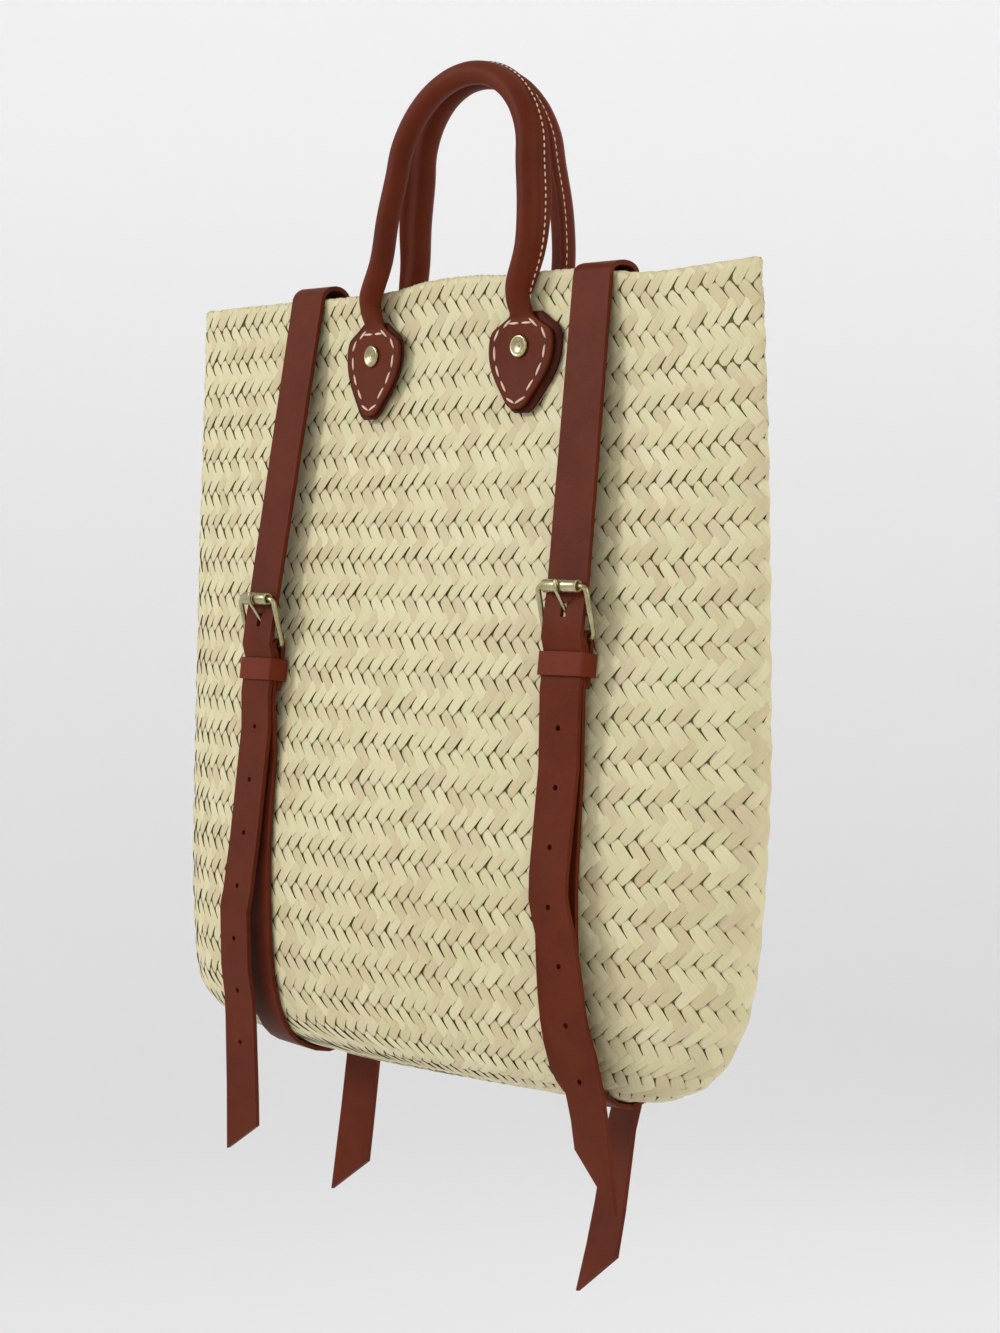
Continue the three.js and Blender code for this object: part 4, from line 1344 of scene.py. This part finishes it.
# Inside the tab's edge from its neck down to its point and up again, then across the neck
def tabStitchPaths(side, face):
    values = handleValues
    inset = stitchValues["tab"]["inset"]
    rows = along(values["tabRows"], np.linspace(1, len(values["tabRows"]) - 1, 60))
    sideLine = []
    for down, width in rows:
        reach = values["tabWidth"] * width / 2 - inset
        if reach < 0.4:
            break
        sideLine.append((reach, down))
    sideLine.append((0, sideLine[-1][1] + 0.01))
    outline = sideLine + [(-reach, down) for reach, down in reversed(sideLine[:-1])]
    corner, top = sideLine[0]
    neckReach = corner - stitchValues["tab"]["pitch"] / 2
    neckLine = [(neckReach * share, top) for share in np.linspace(-1, 1, 7)]
    paths = []
    for line in (outline, neckLine):
        path = []
        for reach, down in line:
            x = tabMiddle(side) + reach
            z = tabTop - values["tabHeight"] * down
            off = tabOff + values["tabThickness"] + tabLiftAt(x)
            path.append((x, face * (faceDepth(x, z) + off), z))
        paths.append(path)
    return paths


def addHandles():
    for faceName, face in faces.items():
        rings = handleRings(face, handleValues["leans"][faceName])
        mesh = loftMesh(faceName + "_handle_leather", rings, leather)
        newPiece(faceName + "_handle_leather", mesh, "leather", faceName + "_handle")
        steps = handleValues["ringSteps"]
        fromTab = (len(handleValues["tabRows"]) + 1) * steps
        seamLine = [rings[i][handleValues["seamColumn"]] for i in range(fromTab, len(rings) - fromTab)]
        stitchPiece(faceName + "_handle_stitches", [seamLine], "seam", 5 + face)
        for sideName, side in sides.items():
            name = f"{faceName}_{sideName}"
            backing = name + "_backing"
            newPiece(backing + "_leather", backingMesh(backing, side, face), "leather", backing)
            rivet = name + "_rivet"
            newPiece(rivet + "_brass", rivetMesh(rivet, side, face), "brass", rivet)
            stitchPiece(name + "_tab_stitches", tabStitchPaths(side, face), "tab", 20 + face + side)


addHandles()
print("The handles are sewn and riveted")


# Room and light
roomValues = {
    "floor": -1.15,
    "radius": 4.8,
    "curve": 1.7,
    "wallTop": 3.4,
    "paint": shade(232, 232, 232),
    # How brightly the room glows by itself, low down and high up, between two heights
    "lowGlow": 0.12,
    "highGlow": 0.33,
    "glowFrom": -1.1,
    "glowTo": 0.85,
}


def addRoom(values):
    profile = [(0.01, values["floor"])]
    flat = values["radius"] - values["curve"]
    profile.append((flat * 0.5, values["floor"]))
    for turn in range(0, 91, 6):
        angle = math.radians(turn)
        reach = flat + values["curve"] * math.sin(angle)
        profile.append((reach, values["floor"] + values["curve"] * (1 - math.cos(angle))))
    profile.append((values["radius"], values["wallTop"]))
    points = []
    size = 96
    for reach, height in profile:
        for j in range(size):
            angle = 2 * math.pi * j / size
            points.append((reach * math.cos(angle), reach * math.sin(angle), height))
    mesh = bpy.data.meshes.new("room")
    mesh.from_pydata(points, [], loftFaces(len(profile), size)[:-1])
    mesh.shade_smooth()
    material, make, shader = newMaterial("glowing pale paint")
    shader.inputs["Base Color"].default_value = values["paint"]
    shader.inputs["Roughness"].default_value = 0.9
    # Painted light: the walls glow though they are no lamp, brighter higher up
    shader.inputs["Emission Color"].default_value = values["paint"]
    height = make.add("ShaderNodeSeparateXYZ", {"Vector": objectPlace(make)}).outputs["Z"]
    ends = [values[key] for key in ("glowFrom", "glowTo", "lowGlow", "highGlow")]
    glow = make.ranged(height, *ends)
    make.feed(shader.inputs["Emission Strength"], glow)
    mesh.materials.append(material)
    room = newObject("room", mesh)


lampValues = {
    "key": {"place": (-1.5, -2.2, 1.1), "size": 0.7, "power": 35},
    "side": {"place": (2.6, 0.2, 0.6), "size": 2.0, "power": 20},
    "top": {"place": (0.2, -0.2, 2.6), "size": 2.4, "power": 10},
    "back": {"place": (-0.8, 2.6, 0.8), "size": 2.0, "power": 10},
}


def addLamps(lamps):
    aim = Vector((0, 0, -0.28))
    for name, values in lamps.items():
        data = bpy.data.lights.new(name, "AREA")
        data.shape = "DISK"
        data.size = values["size"]
        data.energy = values["power"]
        lamp = newObject(name, data)
        lamp.location = values["place"]
        lamp.rotation_euler = (aim - Vector(values["place"])).to_track_quat("-Z", "Y").to_euler()


def addSky():
    world = bpy.data.worlds.new("pale sky")
    world.use_nodes = True
    background = world.node_tree.nodes["Background"]
    background.inputs["Color"].default_value = (1, 1, 1, 1)
    background.inputs["Strength"].default_value = 0.4
    scene.world = world


addRoom(roomValues)
addLamps(lampValues)
addSky()
scene.view_settings.view_transform = "Standard"
print("The room is lit")
